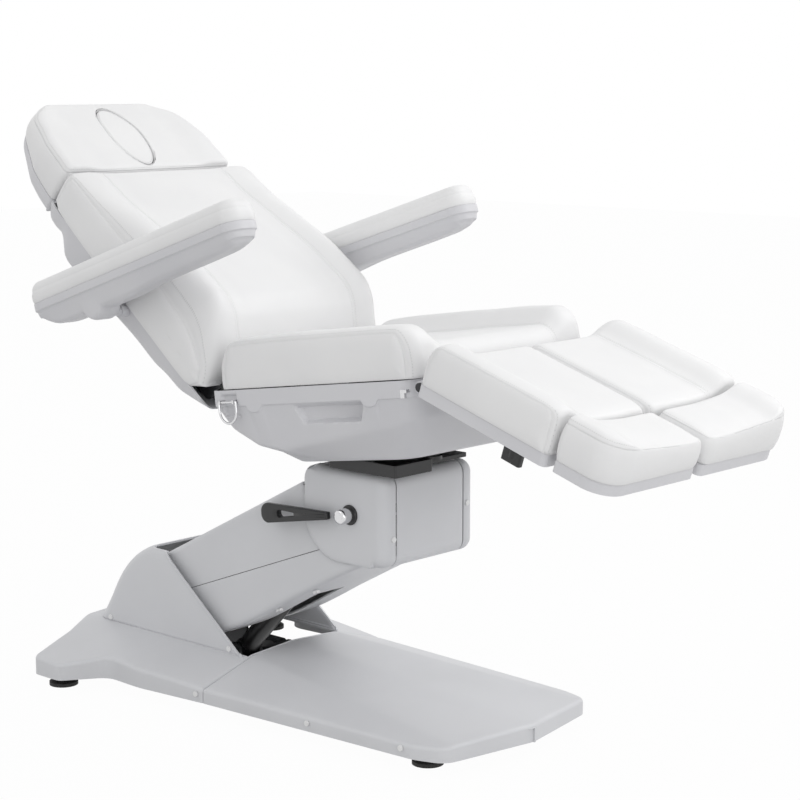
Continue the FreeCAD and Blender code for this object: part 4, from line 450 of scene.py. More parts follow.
def ringedPad(name, form, place, outline, hole=None, mirror=False, yaw=0.0, y=0.0):
    # closed rings of points: out under the base, up the side with the swell draw * (1 - |2t - 1|^2.6),
    # over the edge on a quarter ellipse, across the top, and into the hole or onto the middle line
    topAt, baseAt, seamAt = form["top"], form["base"], form["seam"]
    draw, edgeR = form["draw"], form["edgeR"]
    inner = hole
    if hole is None:
        inner = stacked(np.clip(outline[:, 0], *form["middle"]), form.get("middleY", 0.0))
    normal = outlineNormals(outline)
    seamLine = outline - normal * draw
    rings = []
    distances = []

    def add(flat, z, away):
        rings.append(stacked(flat[:, 0], flat[:, 1], z))
        distances.append(np.full(len(outline), foam["topOff"] if form.get("plain") else away))

    for t in (0.0, 0.5, 0.9):
        flat = inner + (seamLine - inner) * t
        add(flat, baseAt(flat), foam["topOff"])
    low = baseAt(outline)
    high = seamAt(outline)
    for t in (0.0, 0.04, 0.1, 0.22, 0.4, 0.6, 0.78, 0.9, 0.965, 0.99):
        swell = draw * (1 - abs(2 * t - 1) ** 2.6)
        add(seamLine + normal * swell, low + (high - low) * t, foam["sideOff"] + (1 - t) * 40.0)
    add(seamLine - normal * form["pinch"], high, 0.0)
    span = np.linalg.norm(seamLine - inner, axis=1)
    room = np.maximum(span, 1e-6)
    for angle in np.linspace(0.12, rightAngle, 12):
        rise = edgeR * (1 - math.cos(angle))
        flat = seamLine + (inner - seamLine) * (np.minimum(rise, span * 0.96) / room)[:, None]
        add(flat, high + (topAt(flat) - high) * math.sin(angle), rise + 0.6)
    start = np.minimum(edgeR / room, 0.96)
    for k in range(1, form["rings"] + (hole is None)):
        t = start + (1 - start) * k / form["rings"]
        flat = seamLine + (inner - seamLine) * t[:, None]
        add(flat, topAt(flat), foam["topOff"])
    if hole is not None:
        # rounded lip, then straight down the wall of the hole
        lip = form["lipR"]
        toward = (seamLine - inner) / span[:, None]
        for angle in np.linspace(rightAngle, 0, 6):
            flat = inner + toward * lip * (1 - math.cos(angle))
            add(flat, topAt(flat) - lip * (1 - math.sin(angle)), foam["topOff"])
        for t in (0.7, 0.35, 0.0):
            add(inner, baseAt(inner) + (topAt(inner) - lip - baseAt(inner)) * t, foam["topOff"])
    points, quads = asGrid(np.stack(rings), loopCols=True)
    run = runAlong(outline)
    uv = stacked(run, np.stack(distances)).reshape(-1, 2) * mm
    if mirror:
        points = points * mirrorY
    return meshPiece(name, placed(points, place, yaw, y), quads, uv)


def roundedPlan(corners, spacing=7.0):
    # closed plan through (x, y, radius) corners: arcs at the corners, even points on the straights
    line = []
    for i, (x, y, radius) in enumerate(corners):
        here = np.array([x, y])
        before = np.array(corners[i - 1][:2]) - here
        after = np.array(corners[(i + 1) % len(corners)][:2]) - here
        b = before / np.linalg.norm(before)
        a = after / np.linalg.norm(after)
        half = math.acos(np.clip(np.dot(a, b), -1, 1)) / 2
        cut = min(radius / math.tan(half), np.linalg.norm(before) / 2, np.linalg.norm(after) / 2)
        r = cut * math.tan(half)
        centre = here + (a + b) / np.linalg.norm(a + b) * r / math.sin(half)
        start, end = here + b * cut - centre, here + a * cut - centre
        first, last = math.atan2(start[1], start[0]), math.atan2(end[1], end[0])
        turn = (last - first + math.pi) % (2 * math.pi) - math.pi
        angle = first + turn * np.linspace(0, 1, max(4, int(abs(turn) * r / spacing * 2) + 4))
        line.append(centre + r * stacked(np.cos(angle), np.sin(angle)))
    dense = np.concatenate(line + [line[0][:1]])
    length = runAlong(dense)
    at = np.linspace(0, length[-1], int(length[-1] / spacing), endpoint=False)
    return stacked(np.interp(at, length, dense[:, 0]), np.interp(at, length, dense[:, 1]))


# Seat cushion, on the seat's own slope
seatPad = {
    "stations": [(-217, 162, 240, 246, 226), (-150, 162, 250, 264, 228), (0, 162, 252, 267, 227),
                 (200, 162, 252, 267, 227), (290, 162, 250, 264, 227), (336, 162, 246, 258, 226)],
    "inner": -262, "outer": 262, "sideR": (32, 32), "endR": (46, 44), "cornerR": 26, "draw": 6,
    "seams": [94, 430], "grooveDeep": 1.3,
    "across": [(0.0, 1.0), (0.085, 1.0), (0.19, 0.06), (0.28, 0.0), (0.72, 0.0), (0.81, 0.06),
               (0.915, 1.0), (1.0, 1.0)],
}
seat = dress(sweptPad("seatCushion", seatPad, seatFrame), "upholstery", "seat", "seat_cushion")

# Back cushion: deep lumbar end with tall bolsters, thin head end
backPad = {
    "stations": [(-586, -34, 34, 40, 36), (-570, -42, 44, 52, 46), (-480, -48, 47, 70, 56),
                 (-360, -50, 50, 98, 78), (-210, -50, 52, 128, 104), (-110, -50, 46, 134, 112),
                 (-70, -50, 36, 120, 100), (-38, -49, 22, 88, 76), (-10, -44, 6, 56, 50),
                 (18, -22, -6, 20, 17)],
    "inner": -263, "outer": 263, "sideR": (46, 46), "endR": (14, 26), "cornerR": 16, "draw": 7,
    "seams": [86, 440], "grooveDeep": 1.5,
    "across": [(0.0, 1.0), (0.09, 1.0), (0.17, 0.25), (0.24, 0.03), (0.5, 0.0), (0.76, 0.03),
               (0.83, 0.25), (0.91, 1.0), (1.0, 1.0)],
}
back = dress(sweptPad("backCushion", backPad, backFrame), "upholstery", "back", "back_cushion")

# Leg cushions: outer bolster, flat channel, low inner edge
legPad = {
    "stations": [(7, 13, 86, 96, 66), (40, 13, 94, 103, 73), (165, 13, 95, 104, 74),
                 (290, 13, 95, 103, 73), (327, 13, 88, 97, 68)],
    "inner": 9, "outer": 284, "sideR": (16, 30), "endR": (34, 12), "cornerR": 12, "draw": 5,
    "seams": [187], "grooveDeep": 1.2, "endSwell": 2.0, "innerLow": 30.0,
    "across": [(0.0, 0.0), (0.3, 0.02), (0.62, 0.06), (0.7, 0.2), (0.88, 1.0), (1.0, 1.0)],
}
for word, sign in sides.items():
    leg = dress(sweptPad("legCushion." + word, legPad, legFrame, mirror=sign < 0), "upholstery",
                "leg_" + word, "leg_" + word + "_cushion")
print("swept cushions made")

# Foot cushions: rounded nose, outer rim higher than the middle
footPad = {
    "draw": 5, "edgeR": 20, "middle": (385, 415), "middleY": 140, "pinch": 1.2, "rings": 22,
    "base": lambda p: np.full(len(p), 13.0),
    "seam": lambda p: curveThrough([0, 60, 200, 292], [66, 67, 78, 86], p[:, 1]),
    "top": lambda p: (curveThrough([0, 40, 150, 200, 252, 292], [72, 74, 76, 83, 101, 101], p[:, 1])
                      - 8.0 * smoothStep((p[:, 0] - 400) / 90.0)),
    "corners": [(339, 8, 12), (470, 8, 20), (472, 288, 58), (339, 288, 14)],
}
footPlan = roundedPlan(footPad["corners"], 5.0)
for word, sign in sides.items():
    foot = dress(ringedPad("footCushion." + word, footPad, legFrame, footPlan, mirror=sign < 0),
                 "upholstery", "foot_" + word, "foot_" + word + "_cushion")

# Head cushion with its oval hole, and the plug that fills it
headPad = {
    "draw": 6, "edgeR": 22, "lipR": 3, "pinch": 1.4, "rings": 18, "holeX": -718, "hole": (206, 100),
    "base": lambda p: -57 + 26 * smoothStep((-p[:, 0] - 620) / 230.0),
    "seam": lambda p: 22 - 10 * smoothStep((-p[:, 0] - 700) / 150.0),
    "top": lambda p: (30 + 8 * smoothStep((np.abs(p[:, 1]) - 130) / 70.0)
                      - 12 * smoothStep((-p[:, 0] - 720) / 130.0)),
    "corners": [(-598, -250, 16), (-700, -246, 60), (-800, -218, 80), (-851, -150, 46),
                (-851, 150, 46), (-800, 218, 80), (-700, 246, 60), (-598, 250, 16)],
}
headPlan = roundedPlan(headPad["corners"], 5.0)


def ovalAt(bearing, centreX, length, width):
    return stacked(centreX + length / 2 * np.cos(bearing), width / 2 * np.sin(bearing))


# the oval's points lie at the same bearings as the outline's own points
holeLong, holeWide = headPad["hole"]
headBearing = np.arctan2(headPlan[:, 1] / holeWide, (headPlan[:, 0] - headPad["holeX"]) / holeLong)
headHole = ovalAt(headBearing, headPad["holeX"], holeLong, holeWide)
head = dress(ringedPad("headCushion", headPad, backFrame, headPlan, hole=headHole), "upholstery",
             "headrest", "head_cushion")
plugPad = dict(headPad)
plugPad.update({"draw": 1, "edgeR": 5, "middle": (-765, -671), "pinch": 0.2, "rings": 8,
                "size": (203.2, 97.2), "base": lambda p: np.full(len(p), -55.0),
                "seam": lambda p: headPad["top"](p) - 5.0, "top": lambda p: headPad["top"](p) - 0.8})
plugPlan = ovalAt(np.linspace(0, 2 * math.pi, 120, endpoint=False), headPad["holeX"], *plugPad["size"])
plug = dress(ringedPad("facePlug", plugPad, backFrame, plugPlan), "upholstery", "face_plug", "face_plug")

# Armrest pads on their splayed arms
armPad = {
    "draw": 3, "edgeR": 20, "middle": (-160, 469), "pinch": 0.0, "rings": 6, "plain": True,
    "base": lambda p: np.full(len(p), 66.0), "seam": lambda p: np.full(len(p), 92.0),
    "top": lambda p: 114.0 - 2.0 * (p[:, 1] / 43.0) ** 2,
    "corners": [(-203, -43, 32), (512, -43, 32), (512, 43, 32), (-203, 43, 32)],
    "splay": 2.4, "side": 318,
}
armPlan = roundedPlan(armPad["corners"], 5.0)
armFrame = {"x": -444.8, "z": 848.7, "pitch": -18.0}
for word, sign in sides.items():
    pad = dress(ringedPad("armrestPad." + word, armPad, armFrame, armPlan, yaw=sign * armPad["splay"],
                          y=sign * armPad["side"]),
                "upholstery", "armrest_" + word, "armrest_" + word + "_pad")
print("ringed cushions made")


def faceNormals(points, quads):
    # cross product of each face's two diagonals
    a, b, c, d = (points[quads[:, k]] for k in range(4))
    return np.cross(c - a, d - b)


def facing(points, quads, axis, sign):
    # all faces turned round when their summed normals point the other way along the axis
    total = faceNormals(points, quads)[:, axis].sum()
    return quads[:, ::-1] if total * sign < 0 else quads


def thickened(points, quads, wall):
    # a moulded wall: the outer skin, the same skin set in along its normals, and a band round each open edge
    faceNormal = faceNormals(points, quads)
    normal = np.zeros_like(points)
    for k in range(4):
        np.add.at(normal, quads[:, k], faceNormal)
    normal /= np.maximum(np.linalg.norm(normal, axis=1), 1e-9)[:, None]
    inner = points - normal * wall
    edges = np.concatenate([quads[:, [k, (k + 1) % 4]] for k in range(4)])
    key = np.sort(edges, axis=1)
    order = key[:, 0].astype(np.int64) * (len(points) + 1) + key[:, 1]
    where, times = np.unique(order, return_index=True, return_counts=True)[1:]
    free = edges[where[times == 1]]
    shift = len(points)
    rim = stacked(free[:, 1], free[:, 0], free[:, 0] + shift, free[:, 1] + shift)
    return np.concatenate([points, inner]), np.concatenate([quads, quads[:, ::-1] + shift, rim])


def rigidPiece(name, points, quads, place, slot, body, replaced=(), yaw=0.0, y=0.0, crease=38.0):
    # a hard piece in its place, with edges sharper than crease degrees left sharp
    piece = meshPiece(name, placed(points, place, yaw, y), quads)
    piece.data.set_sharp_from_angle(angle=math.radians(crease))
    return dress(piece, slot, body, *replaced)


def trayPiece(name, points, quads, wall, place, slot, body, replaced, cover=False, **more):
    # the outer skin of an open tray faces down on the whole, and that of a cover faces up
    quads = facing(points, quads, 2, 1 if cover else -1)
    return rigidPiece(name, *thickened(points, quads, wall), place, slot, body, replaced, **more)


def ringOutline(x0, x1, half, radiusA, radiusB, counts):
    # rounded rectangle with fixed numbers of points on its sides, ends and arcs, so that rings of other
    # sizes match it point by point: rear right corner, right side, front, left side, rear
    side, end, arc = counts
    turn = np.linspace(0, rightAngle, arc)
    across = np.linspace(-1, 1, end)[1:-1]
    rearArc = stacked(x0 + radiusA * (1 - np.cos(turn)), -half + radiusA * (1 - np.sin(turn)))
    straight = stacked(np.linspace(x0 + radiusA, x1 - radiusB, side)[1:-1], -half)
    frontArc = stacked(x1 - radiusB * (1 - np.sin(turn)), -half + radiusB * (1 - np.cos(turn)))
    front = stacked(x1, across * (half - radiusB))
    right = np.concatenate([rearArc, straight, frontArc])
    rear = stacked(x0, -across * (half - radiusA))
    return np.concatenate([right, front, right[::-1] * np.array([1, -1]), rear])


def softened(rows, radii, steps=5):
    # each inner row of matching points becomes a short parabola, whose ends lie within its radius of
    # the row, or at 0.48 of the way to a nearer neighbour; no radii means that nothing changes
    if radii is None:
        return rows
    out = [rows[0]]
    for here, last, coming, radius in zip(rows[1:], rows, rows[2:], radii):
        before = last - here
        after = coming - here
        lengthB = np.linalg.norm(before, axis=1, keepdims=True)
        lengthA = np.linalg.norm(after, axis=1, keepdims=True)
        cut = np.minimum(np.minimum(lengthB, lengthA) * 0.48, radius)
        start = here + before / np.maximum(lengthB, 1e-9) * cut
        end = here + after / np.maximum(lengthA, 1e-9) * cut
        for t in np.linspace(0, 1, steps):
            out.append(start * (1 - t) ** 2 + here * 2 * t * (1 - t) + end * t * t)
    return out + [rows[-1]]


def betweenRows(rows, step):
    # extra rows between neighbours, about a step apart, so that long walls bend and dent smoothly
    out = [rows[0]]
    for first, second in zip(rows, rows[1:]):
        gap = np.linalg.norm(second - first, axis=1).max()
        count = max(1, int(gap / step))
        for k in range(1, count + 1):
            out.append(first + (second - first) * k / count)
    return out


# Seat shell: plain band round the rim with hanging lobes, a sunk hand grip, a soft fold, sloped floor
seatShell = {
    "rim": (-246, 318, 262, 24, 34), "crease": (-224, 302, 243, 30, 40), "floor": (-90, 235, 190, 40, 44),
    "opening": (-86, 182, 166, 10, 12), "top": 160.0, "bandBottom": 127.0, "step": 3.2, "wall": 4.0,
    "lobes": (-118, 208), "lobeDeep": 14.0, "lobeHalf": 22.0, "counts": (150, 44, 12),
    "soft": [1.2, 1.6, 9.0, 9.0], "spacing": 4.0,
    "creaseAt": ([-224, -200, -140, -65, 0, 100, 190, 250, 302], [84, 75, 44, 30, 40, 52, 64, 70, 84]),
    "grip": {"x": (-8, 190), "xLow": (12, 168), "w": (124, 84), "deep": 22.0},
    "ringPocket": {"x": (-214, -166), "w": (152, 104), "deep": 7.0}, "nest": (-226.0, 246.0),
}


def seatShellSkin(form):
    # rings down the wall: rim, foot of the band with its lobes, fold, floor, opening; the grip and the
    # ring pocket are pressed in by a smooth step of the distance from their edges
    counts = form["counts"]
    x0, x1, half, rearR, frontR = form["rim"]
    step = form["step"]
    rim = ringOutline(*form["rim"], counts)
    inset = ringOutline(x0 + step, x1 - step, half - step, rearR, frontR, counts)
    crease = ringOutline(*form["crease"], counts)
    onSide = smoothStep((np.abs(rim[:, 1]) - 250) / 10.0)
    bandLow = np.full(len(rim), form["bandBottom"])
    for at in form["lobes"]:
        share = np.clip(1 - ((rim[:, 0] - at) / form["lobeHalf"]) ** 2, 0, 1)
        bandLow -= form["lobeDeep"] * share ** 0.5 * onSide
    rings = [(rim, form["top"]), (rim, bandLow), (inset, bandLow - step * 0.6),
             (crease, np.interp(crease[:, 0], *form["creaseAt"])),
             (ringOutline(*form["floor"], counts), 0.0), (ringOutline(*form["opening"], counts), 0.0)]
    rows = softened([stacked(flat[:, 0], flat[:, 1], w) for flat, w in rings], form["soft"])
    skin = np.stack(betweenRows(rows, form["spacing"]))
    x, y, w = skin[..., 0], skin[..., 1], skin[..., 2]
    grip, pocket = form["grip"], form["ringPocket"]
    fall = np.clip((grip["w"][0] - w) / (grip["w"][0] - grip["w"][1]), 0, 1)
    left, right = (grip["x"][k] + (grip["xLow"][k] - grip["x"][k]) * fall for k in (0, 1))
    inside = np.min([x - left, right - x, w - grip["w"][1], grip["w"][0] - w], axis=0)
    press = grip["deep"] * smoothStep((inside + 1.0) / 9.0) * (0.55 + 0.45 * smoothStep((x - left) / 120.0))
    within = np.min([x - pocket["x"][0], pocket["x"][1] - x, w - pocket["w"][1], pocket["w"][0] - w], axis=0)
    press = np.maximum(press, pocket["deep"] * smoothStep((within + 1.0) / 6.0))
    skin[..., 1] = y - np.sign(y) * press * (np.abs(y) > 225)
    points, quads = asGrid(skin, loopCols=True)
    # the rear wall is open where the back shell nests
    middle = points[quads].mean(1)
    nest = (middle[:, 0] < form["nest"][0]) & (np.abs(middle[:, 1]) < form["nest"][1])
    return points, quads[~nest][:, ::-1]


points, quads = thickened(*seatShellSkin(seatShell), seatShell["wall"])
rigidPiece("seatShell", points, quads, seatFrame, "light_plastic", "seat", ("seat_shell",))
print("seat shell made", len(quads))


def mirroredSkin(stations, alongR, acrossR, step):
    # guide points (x, y, w) of half a section at each station, from its free edge to the middle line;
    # corners are softened along and then across, and the half is mirrored in y
    rows = softened([np.array(s, float) for s in stations], alongR)
    rows = np.stack(betweenRows(rows, step))
    columns = softened([rows[:, k] for k in range(rows.shape[1])], acrossR)
    columns = betweenRows(columns, step)
    other = [column * mirrorY for column in columns[:-1]]
    return asGrid(np.stack(columns + other[::-1]))


# Back shell: end wall at the head, recess for the head hinge, deep belly, tongue under the hinge
backShell = {
    # floor x, floor w, edge x, edge w, half width at the edge, half width of the floor
    "stations": [(-594, -52, -594, -50, 256, 250), (-592, -108, -594, -50, 256, 236),
                 (-574, -112, -574, -50, 259, 235), (-540, -107, -540, -50, 259, 235),
                 (-502, -147, -502, -50, 259, 235), (-480, -147, -480, -50, 259, 235),
                 (-223, -120, -223, -50, 259, 235), (-140, -119, -140, -50, 259, 235),
                 (-105, -111, -110, -50, 259, 235), (-49, -109, -60, -50, 258, 233),
                 (0, -95, -22, -56, 250, 224), (32, -82, 14, -64, 240, 216)],
    "alongR": [14, 10, 12, 20, 14, 30, 30, 16, 16, 20], "acrossR": [26], "step": 7.0, "wall": 3.5,
}
guides = [[(xt, ht, wt), (xf, hf, wf), (xf, 0, wf)] for xf, wf, xt, wt, ht, hf in backShell["stations"]]
points, quads = mirroredSkin(guides, backShell["alongR"], backShell["acrossR"], backShell["step"])
trayPiece("backShell", points, quads, backShell["wall"], backFrame, "light_plastic", "back", ("back_shell",))


def loopSkin(outline, rows, reach, radii, step):
    # rows of (inset from the outline, height) from the free edge down, closed onto a middle line
    # between the two values of reach; a height is a number or a function of the plan points
    normal = outlineNormals(outline)

    def raised(flat, height):
        return stacked(flat[:, 0], flat[:, 1], height(flat) if callable(height) else height)

    guides = [raised(outline - normal * inset, height) for inset, height in rows]
    middle = stacked(np.clip(outline[:, 0], *reach), 0.0)
    guides.append(raised(middle, rows[-1][1]))
    return asGrid(np.stack(betweenRows(softened(guides, radii), step)), loopCols=True)


# Head shell: shallow tray that follows the underside of the head cushion
def headTop(p):
    return headPad["base"](p) - 0.4


def headLow(share):
    # a share of the tray's depth, which fades from 42 to 28 towards the crown
    return lambda p: headTop(p) - share * (42.0 - 14.0 * smoothStep((-p[:, 0] - 640) / 220.0))


headTray = {"rows": [(5, headTop), (6, headLow(0.45)), (12, headLow(0.86)), (26, headLow(1.0))],
            "reach": (-765, -671), "radii": [6, 10, 14], "step": 7.0, "wall": 3.0}
points, quads = loopSkin(headPlan, headTray["rows"], headTray["reach"], headTray["radii"], headTray["step"])
trayPiece("headShell", points, quads, headTray["wall"], backFrame, "light_plastic", "headrest",
          ("head_shell",))

# Armrest shells: rim band, small step, soft belly that lifts at both ends, hub over the pivot
armLow = ([-203, -180, -130, -90, 100, 230, 440, 480, 512], [44, 28, 9, 6, 6, 14, 17, 23, 42])
armHub = {"half": 30.0, "deep": 20.0}


def armBelly(lift):
    # the belly's curve through armLow, raised by lift, less the hub's rounded hump
    def height(p):
        x = p[:, 0]
        hub = armHub["deep"] * np.clip(1 - (x / armHub["half"]) ** 2, 0, 1) ** 0.7
        return curveThrough(*armLow, x) + lift - hub
    return height


armTray = {"rows": [(1.0, 65.6), (1.0, 49.0), (5.0, 47.0), (9.0, 33.0), (15.0, armBelly(5.0)),
                    (24.0, armBelly(0.0))],
           "reach": (-160, 469), "radii": [1.2, 1.6, 8, 7, 6], "step": 5.0, "wall": 2.5}
points, quads = loopSkin(armPlan, armTray["rows"], armTray["reach"], armTray["radii"], armTray["step"])
for word, sign in sides.items():
    trayPiece("armrestShell." + word, points, quads, armTray["wall"], armFrame, "light_plastic",
              "armrest_" + word, ("armrest_" + word + "_shell",), yaw=sign * armPad["splay"],
              y=sign * armPad["side"])

# Hump cover over the lower pivot: level slices, S curve at the rear, open front with a raised lip
hump = {
    "heights": [98, 105, 107, 118, 134, 160, 190, 220, 246, 266, 280, 290, 296, 296],
    "rear": [-710, -702, -705, -695, -684, -667, -650, -630, -607, -584, -563, -543, -528, -522],
    "half": [148, 148, 150, 150, 150, 150, 150, 150, 150, 149.5, 148.5, 146, 141, 134],
    "soft": [0.5, 1, 5, 12, 14, 14, 14, 12, 10, 8, 6, 4], "step": 7.0, "wall": 4.0,
    "frontLow": (-203, 98), "frontTop": (-455, 296), "cornerR": 42, "lip": 9.0, "lipOut": 2.2,
}


def humpSkin(form):
    # each slice runs from the leaning front edge along one side, round the rear and back, mirrored in y
    (lowX, lowZ), (topX, topZ) = form["frontLow"], form["frontTop"]
    lip = form["lip"]
    arc = np.linspace(0, rightAngle, 14)
    rows = []
    for z, rear, half in zip(form["heights"], form["rear"], form["half"]):
        front = lowX + (topX - lowX) / (topZ - lowZ) * (z - lowZ)
        radius = min(form["cornerR"], (front - rear) * 0.4)
        side = np.concatenate([front - np.array([0.0, 2.0, 4.0, lip - 2.0, lip]),
                               np.linspace(front - lip - 1.5, rear + radius, 90)])
        out = np.where(front - side < lip - 0.5, form["lipOut"], 0.0)
        corner = stacked(rear + radius * (1 - np.sin(arc)), -half + radius * (1 - np.cos(arc)))
        right = np.concatenate([stacked(side, -half - out), corner[1:]])
        across = stacked(rear, np.linspace(-half + radius, half - radius, 40)[1:-1])
        flat = np.concatenate([right, across, right[::-1] * np.array([1.0, -1.0])])
        rows.append(stacked(flat[:, 0], flat[:, 1], float(z)))
    return asGrid(np.stack(betweenRows(softened(rows, form["soft"]), form["step"])))


trayPiece("humpCover", *humpSkin(hump), hump["wall"], ground, "grey_plastic", "base", ("hump_cover",),
          cover=True)
print("shells of the back, head, armrests and hump made")

# Base covers: roof with a soft ridge and creases over the plan, rounded edge, upright skirt
base = {
    "rearPlan": [(-735, 150, 45), (-688, 240, 45), (-640, 380, 24), (-552, 380, 24), (-490, 288, 45),
                 (-385, 294, 200), (-196, 276, 0.5)],
    "frontPlan": [(-196, 276, 0.5), (376, 246, 90), (444, 224, 45), (484, 0, 60)],
    "floor": 30.0, "edgeR": 8.0, "well": (-690.0, -200.0, 139.0), "wall": 4.0, "soft": 5.0,
    # x, rim, crease y, crease z, ridge z, half width where the rim height holds
    "roof": [(-795, 66, 145, 106, 114, 470), (-196, 60, 128, 106, 114, 276), (484, 56, 204, 61, 67, 246)],
}


def roofHeight(form, x, y):
    # two slopes on each side of the ridge: a hyperbola rounds the ridge, and another one the crease
    roof = np.array(form["roof"], float)
    rim, creaseY, creaseZ, ridge, reach = (np.interp(x, roof[:, 0], roof[:, k]) for k in range(1, 6))
    soft = form["soft"]
    off = np.sqrt(y * y + soft ** 2) - 3.0
    past = off - creaseY
    inner = (ridge - creaseZ) / creaseY
    outer = (creaseZ - rim) / (reach - creaseY)
    return ridge - inner * off - (outer - inner) * (past + np.sqrt(past * past + soft * soft)) / 2


def awayFrom(outline, cells, batch=2000):
    # distance of each cell from a closed outline, as the least of the distances from its pieces
    closed = np.concatenate([outline, outline[:1]])
    start, span = closed[:-1], np.diff(closed, axis=0)
    size = np.maximum((span ** 2).sum(1), 1e-9)
    away = np.empty(len(cells))
    for k in range(0, len(cells), batch):
        part = cells[k:k + batch, None, :] - start
        t = np.clip((part * span).sum(2) / size, 0, 1)
        away[k:k + batch] = np.linalg.norm(part - t[..., None] * span, axis=2).min(1)
    return away


def baseStations(form, corners, ends, hole):
    # even steps along x, closer together at the plan's corners, and exactly at the well's two ends
    near = np.array([0.0, 0.3, 0.9, 2.0, 3.6, 6.0, 9.0, 13.0])
    marks = np.concatenate([corner[0] + np.concatenate([-near[::-1], near]) for corner in corners])
    fixed = np.array(form["well"][:2]) if hole else np.zeros(0)
    xs = np.unique(np.round(np.concatenate([np.arange(*ends, 6.0), marks, fixed, [ends[1]]]), 2))
    xs = xs[(xs >= ends[0]) & (xs <= ends[1])]
    if hole:
        xs = np.array([x for x in xs if x in fixed or np.min(np.abs(x - fixed)) > 1.0])
    return xs


def baseSkin(form, corners, hole):
    # a grid over the plan, stretched to its width at each station: the roof's height, less a quarter
    # circle by the distance from the outline; then the skirt down to the floor level on every side
    outline = roundedPlan(corners + [(x, -y, r) for x, y, r in reversed(corners) if y != 0], 3.0)
    upper = outline[outline[:, 1] >= -0.01]
    upper = upper[np.argsort(upper[:, 0], kind="stable")]
    xs = baseStations(form, corners, (outline[:, 0].min(), outline[:, 0].max()), hole)
    half = np.interp(xs, upper[:, 0], upper[:, 1])
    inner = np.minimum(form["well"][2], half * 0.9)
    share = np.linspace(0, 1, 22)
    close = 1 - (1 - share[-2]) * np.array([0.8, 0.62, 0.45, 0.3, 0.18, 0.08, 0.02, 0.0])
    outward = np.concatenate([share[1:-1], close])
    middle = inner[:, None] * np.linspace(-1, 1, 31)
    right = inner[:, None] + (half - inner)[:, None] * outward
    flatY = np.concatenate([-right[:, ::-1], middle, right], 1)
    flatX = np.repeat(xs[:, None], flatY.shape[1], 1)
    away = awayFrom(outline, stacked(flatX, flatY).reshape(-1, 2)).reshape(flatX.shape)
    z = roofHeight(form, flatX, flatY) - form["edgeR"] * (1 - quarter(away / form["edgeR"]))
    low = stacked(xs, flatY[:, 0], form["floor"])
    grid = np.concatenate([low[:, None], stacked(flatX, flatY, z), (low * mirrorY)[:, None]], 1)
    rows, cols = grid.shape[:2]
    points, quads = asGrid(grid)
    if hole:
        centre = points[quads].mean(1)
        rear, front, side = form["well"]
        inside = (centre[:, 0] > rear) & (centre[:, 0] < front) & (np.abs(centre[:, 1]) < side)
        quads = quads[~inside]
    for row, turn in ((0, False), (rows - 1, True)):
        top = grid[row, 1:-1]
        foot = stacked(top[:, 0], top[:, 1], form["floor"])
        footIds = np.arange(len(foot)) + len(points)
        footIds[0], footIds[-1] = row * cols, row * cols + cols - 1
        topIds = row * cols + 1 + np.arange(len(top))
        band = stacked(topIds[:-1], topIds[1:], footIds[1:], footIds[:-1])
        points = np.concatenate([points, foot])
        quads = np.concatenate([quads, band[:, ::-1] if turn else band])
    return points, quads


for name, plan, node, hole in (("rearBaseCover", "rearPlan", "rear_base_cover", True),
                               ("frontBaseCover", "frontPlan", "front_base_cover", False)):
    trayPiece(name, *baseSkin(base, base[plan], hole), base["wall"], ground, "grey_plastic", "base", (node,),
              cover=True)
print("base covers made")

# Housing on the arm's head: two side covers with large soft corners and a front cover between them
housing = {
    "outline": [(-24.5, 553, 34), (205.5, 553, 28), (205.5, 357, 28), (-24.5, 357, 100)],
    "middleZ": 455.0, "side": 140.5, "round": 24.0, "split": 104.6, "panel": 101.8, "wall": 3.5,
    "armHalf": 134.0, "armTo": (171.0, 548.0), "ring": (90.5, 84.0, 540.0), "reach": (60, 120), "step": 12.0,
    "frontFrom": (-24.0, 92.0), "frontLow": -90.0,
}
housingLine = roundedPlan([(x, z - housing["middleZ"], r) for x, z, r in housing["outline"]], 4.0)


def freeEdge(p):
    # the side covers stop clear of the arm at the rear and underneath, and at the split elsewhere
    armX, armZ = housing["armTo"]
    rear = smoothStep((16.0 - p[:, 0]) / 14.0) * smoothStep((armZ - housing["middleZ"] - p[:, 1]) / 6.0)
    below = smoothStep((armX - p[:, 0]) / 6.0) * smoothStep((-12.0 - p[:, 1]) / 12.0)
    return housing["split"] + (housing["armHalf"] - housing["split"]) * np.maximum(rear, below)


def housingEdge(angle):
    # rises from the free edge, or from where the round begins, to the side by the sine of the angle
    def height(p):
        start = np.maximum(housing["side"] - housing["round"], freeEdge(p) + 2.0)
        return start + (housing["side"] - start) * math.sin(angle)
    return height


sideRows = [(2.2, freeEdge), (0.6, lambda p: freeEdge(p) + 0.6), (0.0, lambda p: freeEdge(p) + 2.0)]
sideRows += [(housing["round"] * (1 - math.cos(a)), housingEdge(a)) for a in np.linspace(0, rightAngle, 9)]
points, quads = loopSkin(housingLine, sideRows, housing["reach"], None, housing["step"])
for word, sign in sides.items():
    turned = stacked(points[:, 0], sign * points[:, 2], points[:, 1] + housing["middleZ"])
    skin = thickened(turned, facing(turned, quads, 1, sign), housing["wall"])
    rigidPiece("housingCover." + word, *skin, ground, "grey_plastic", "head", ("housing_" + word + "_cover",))


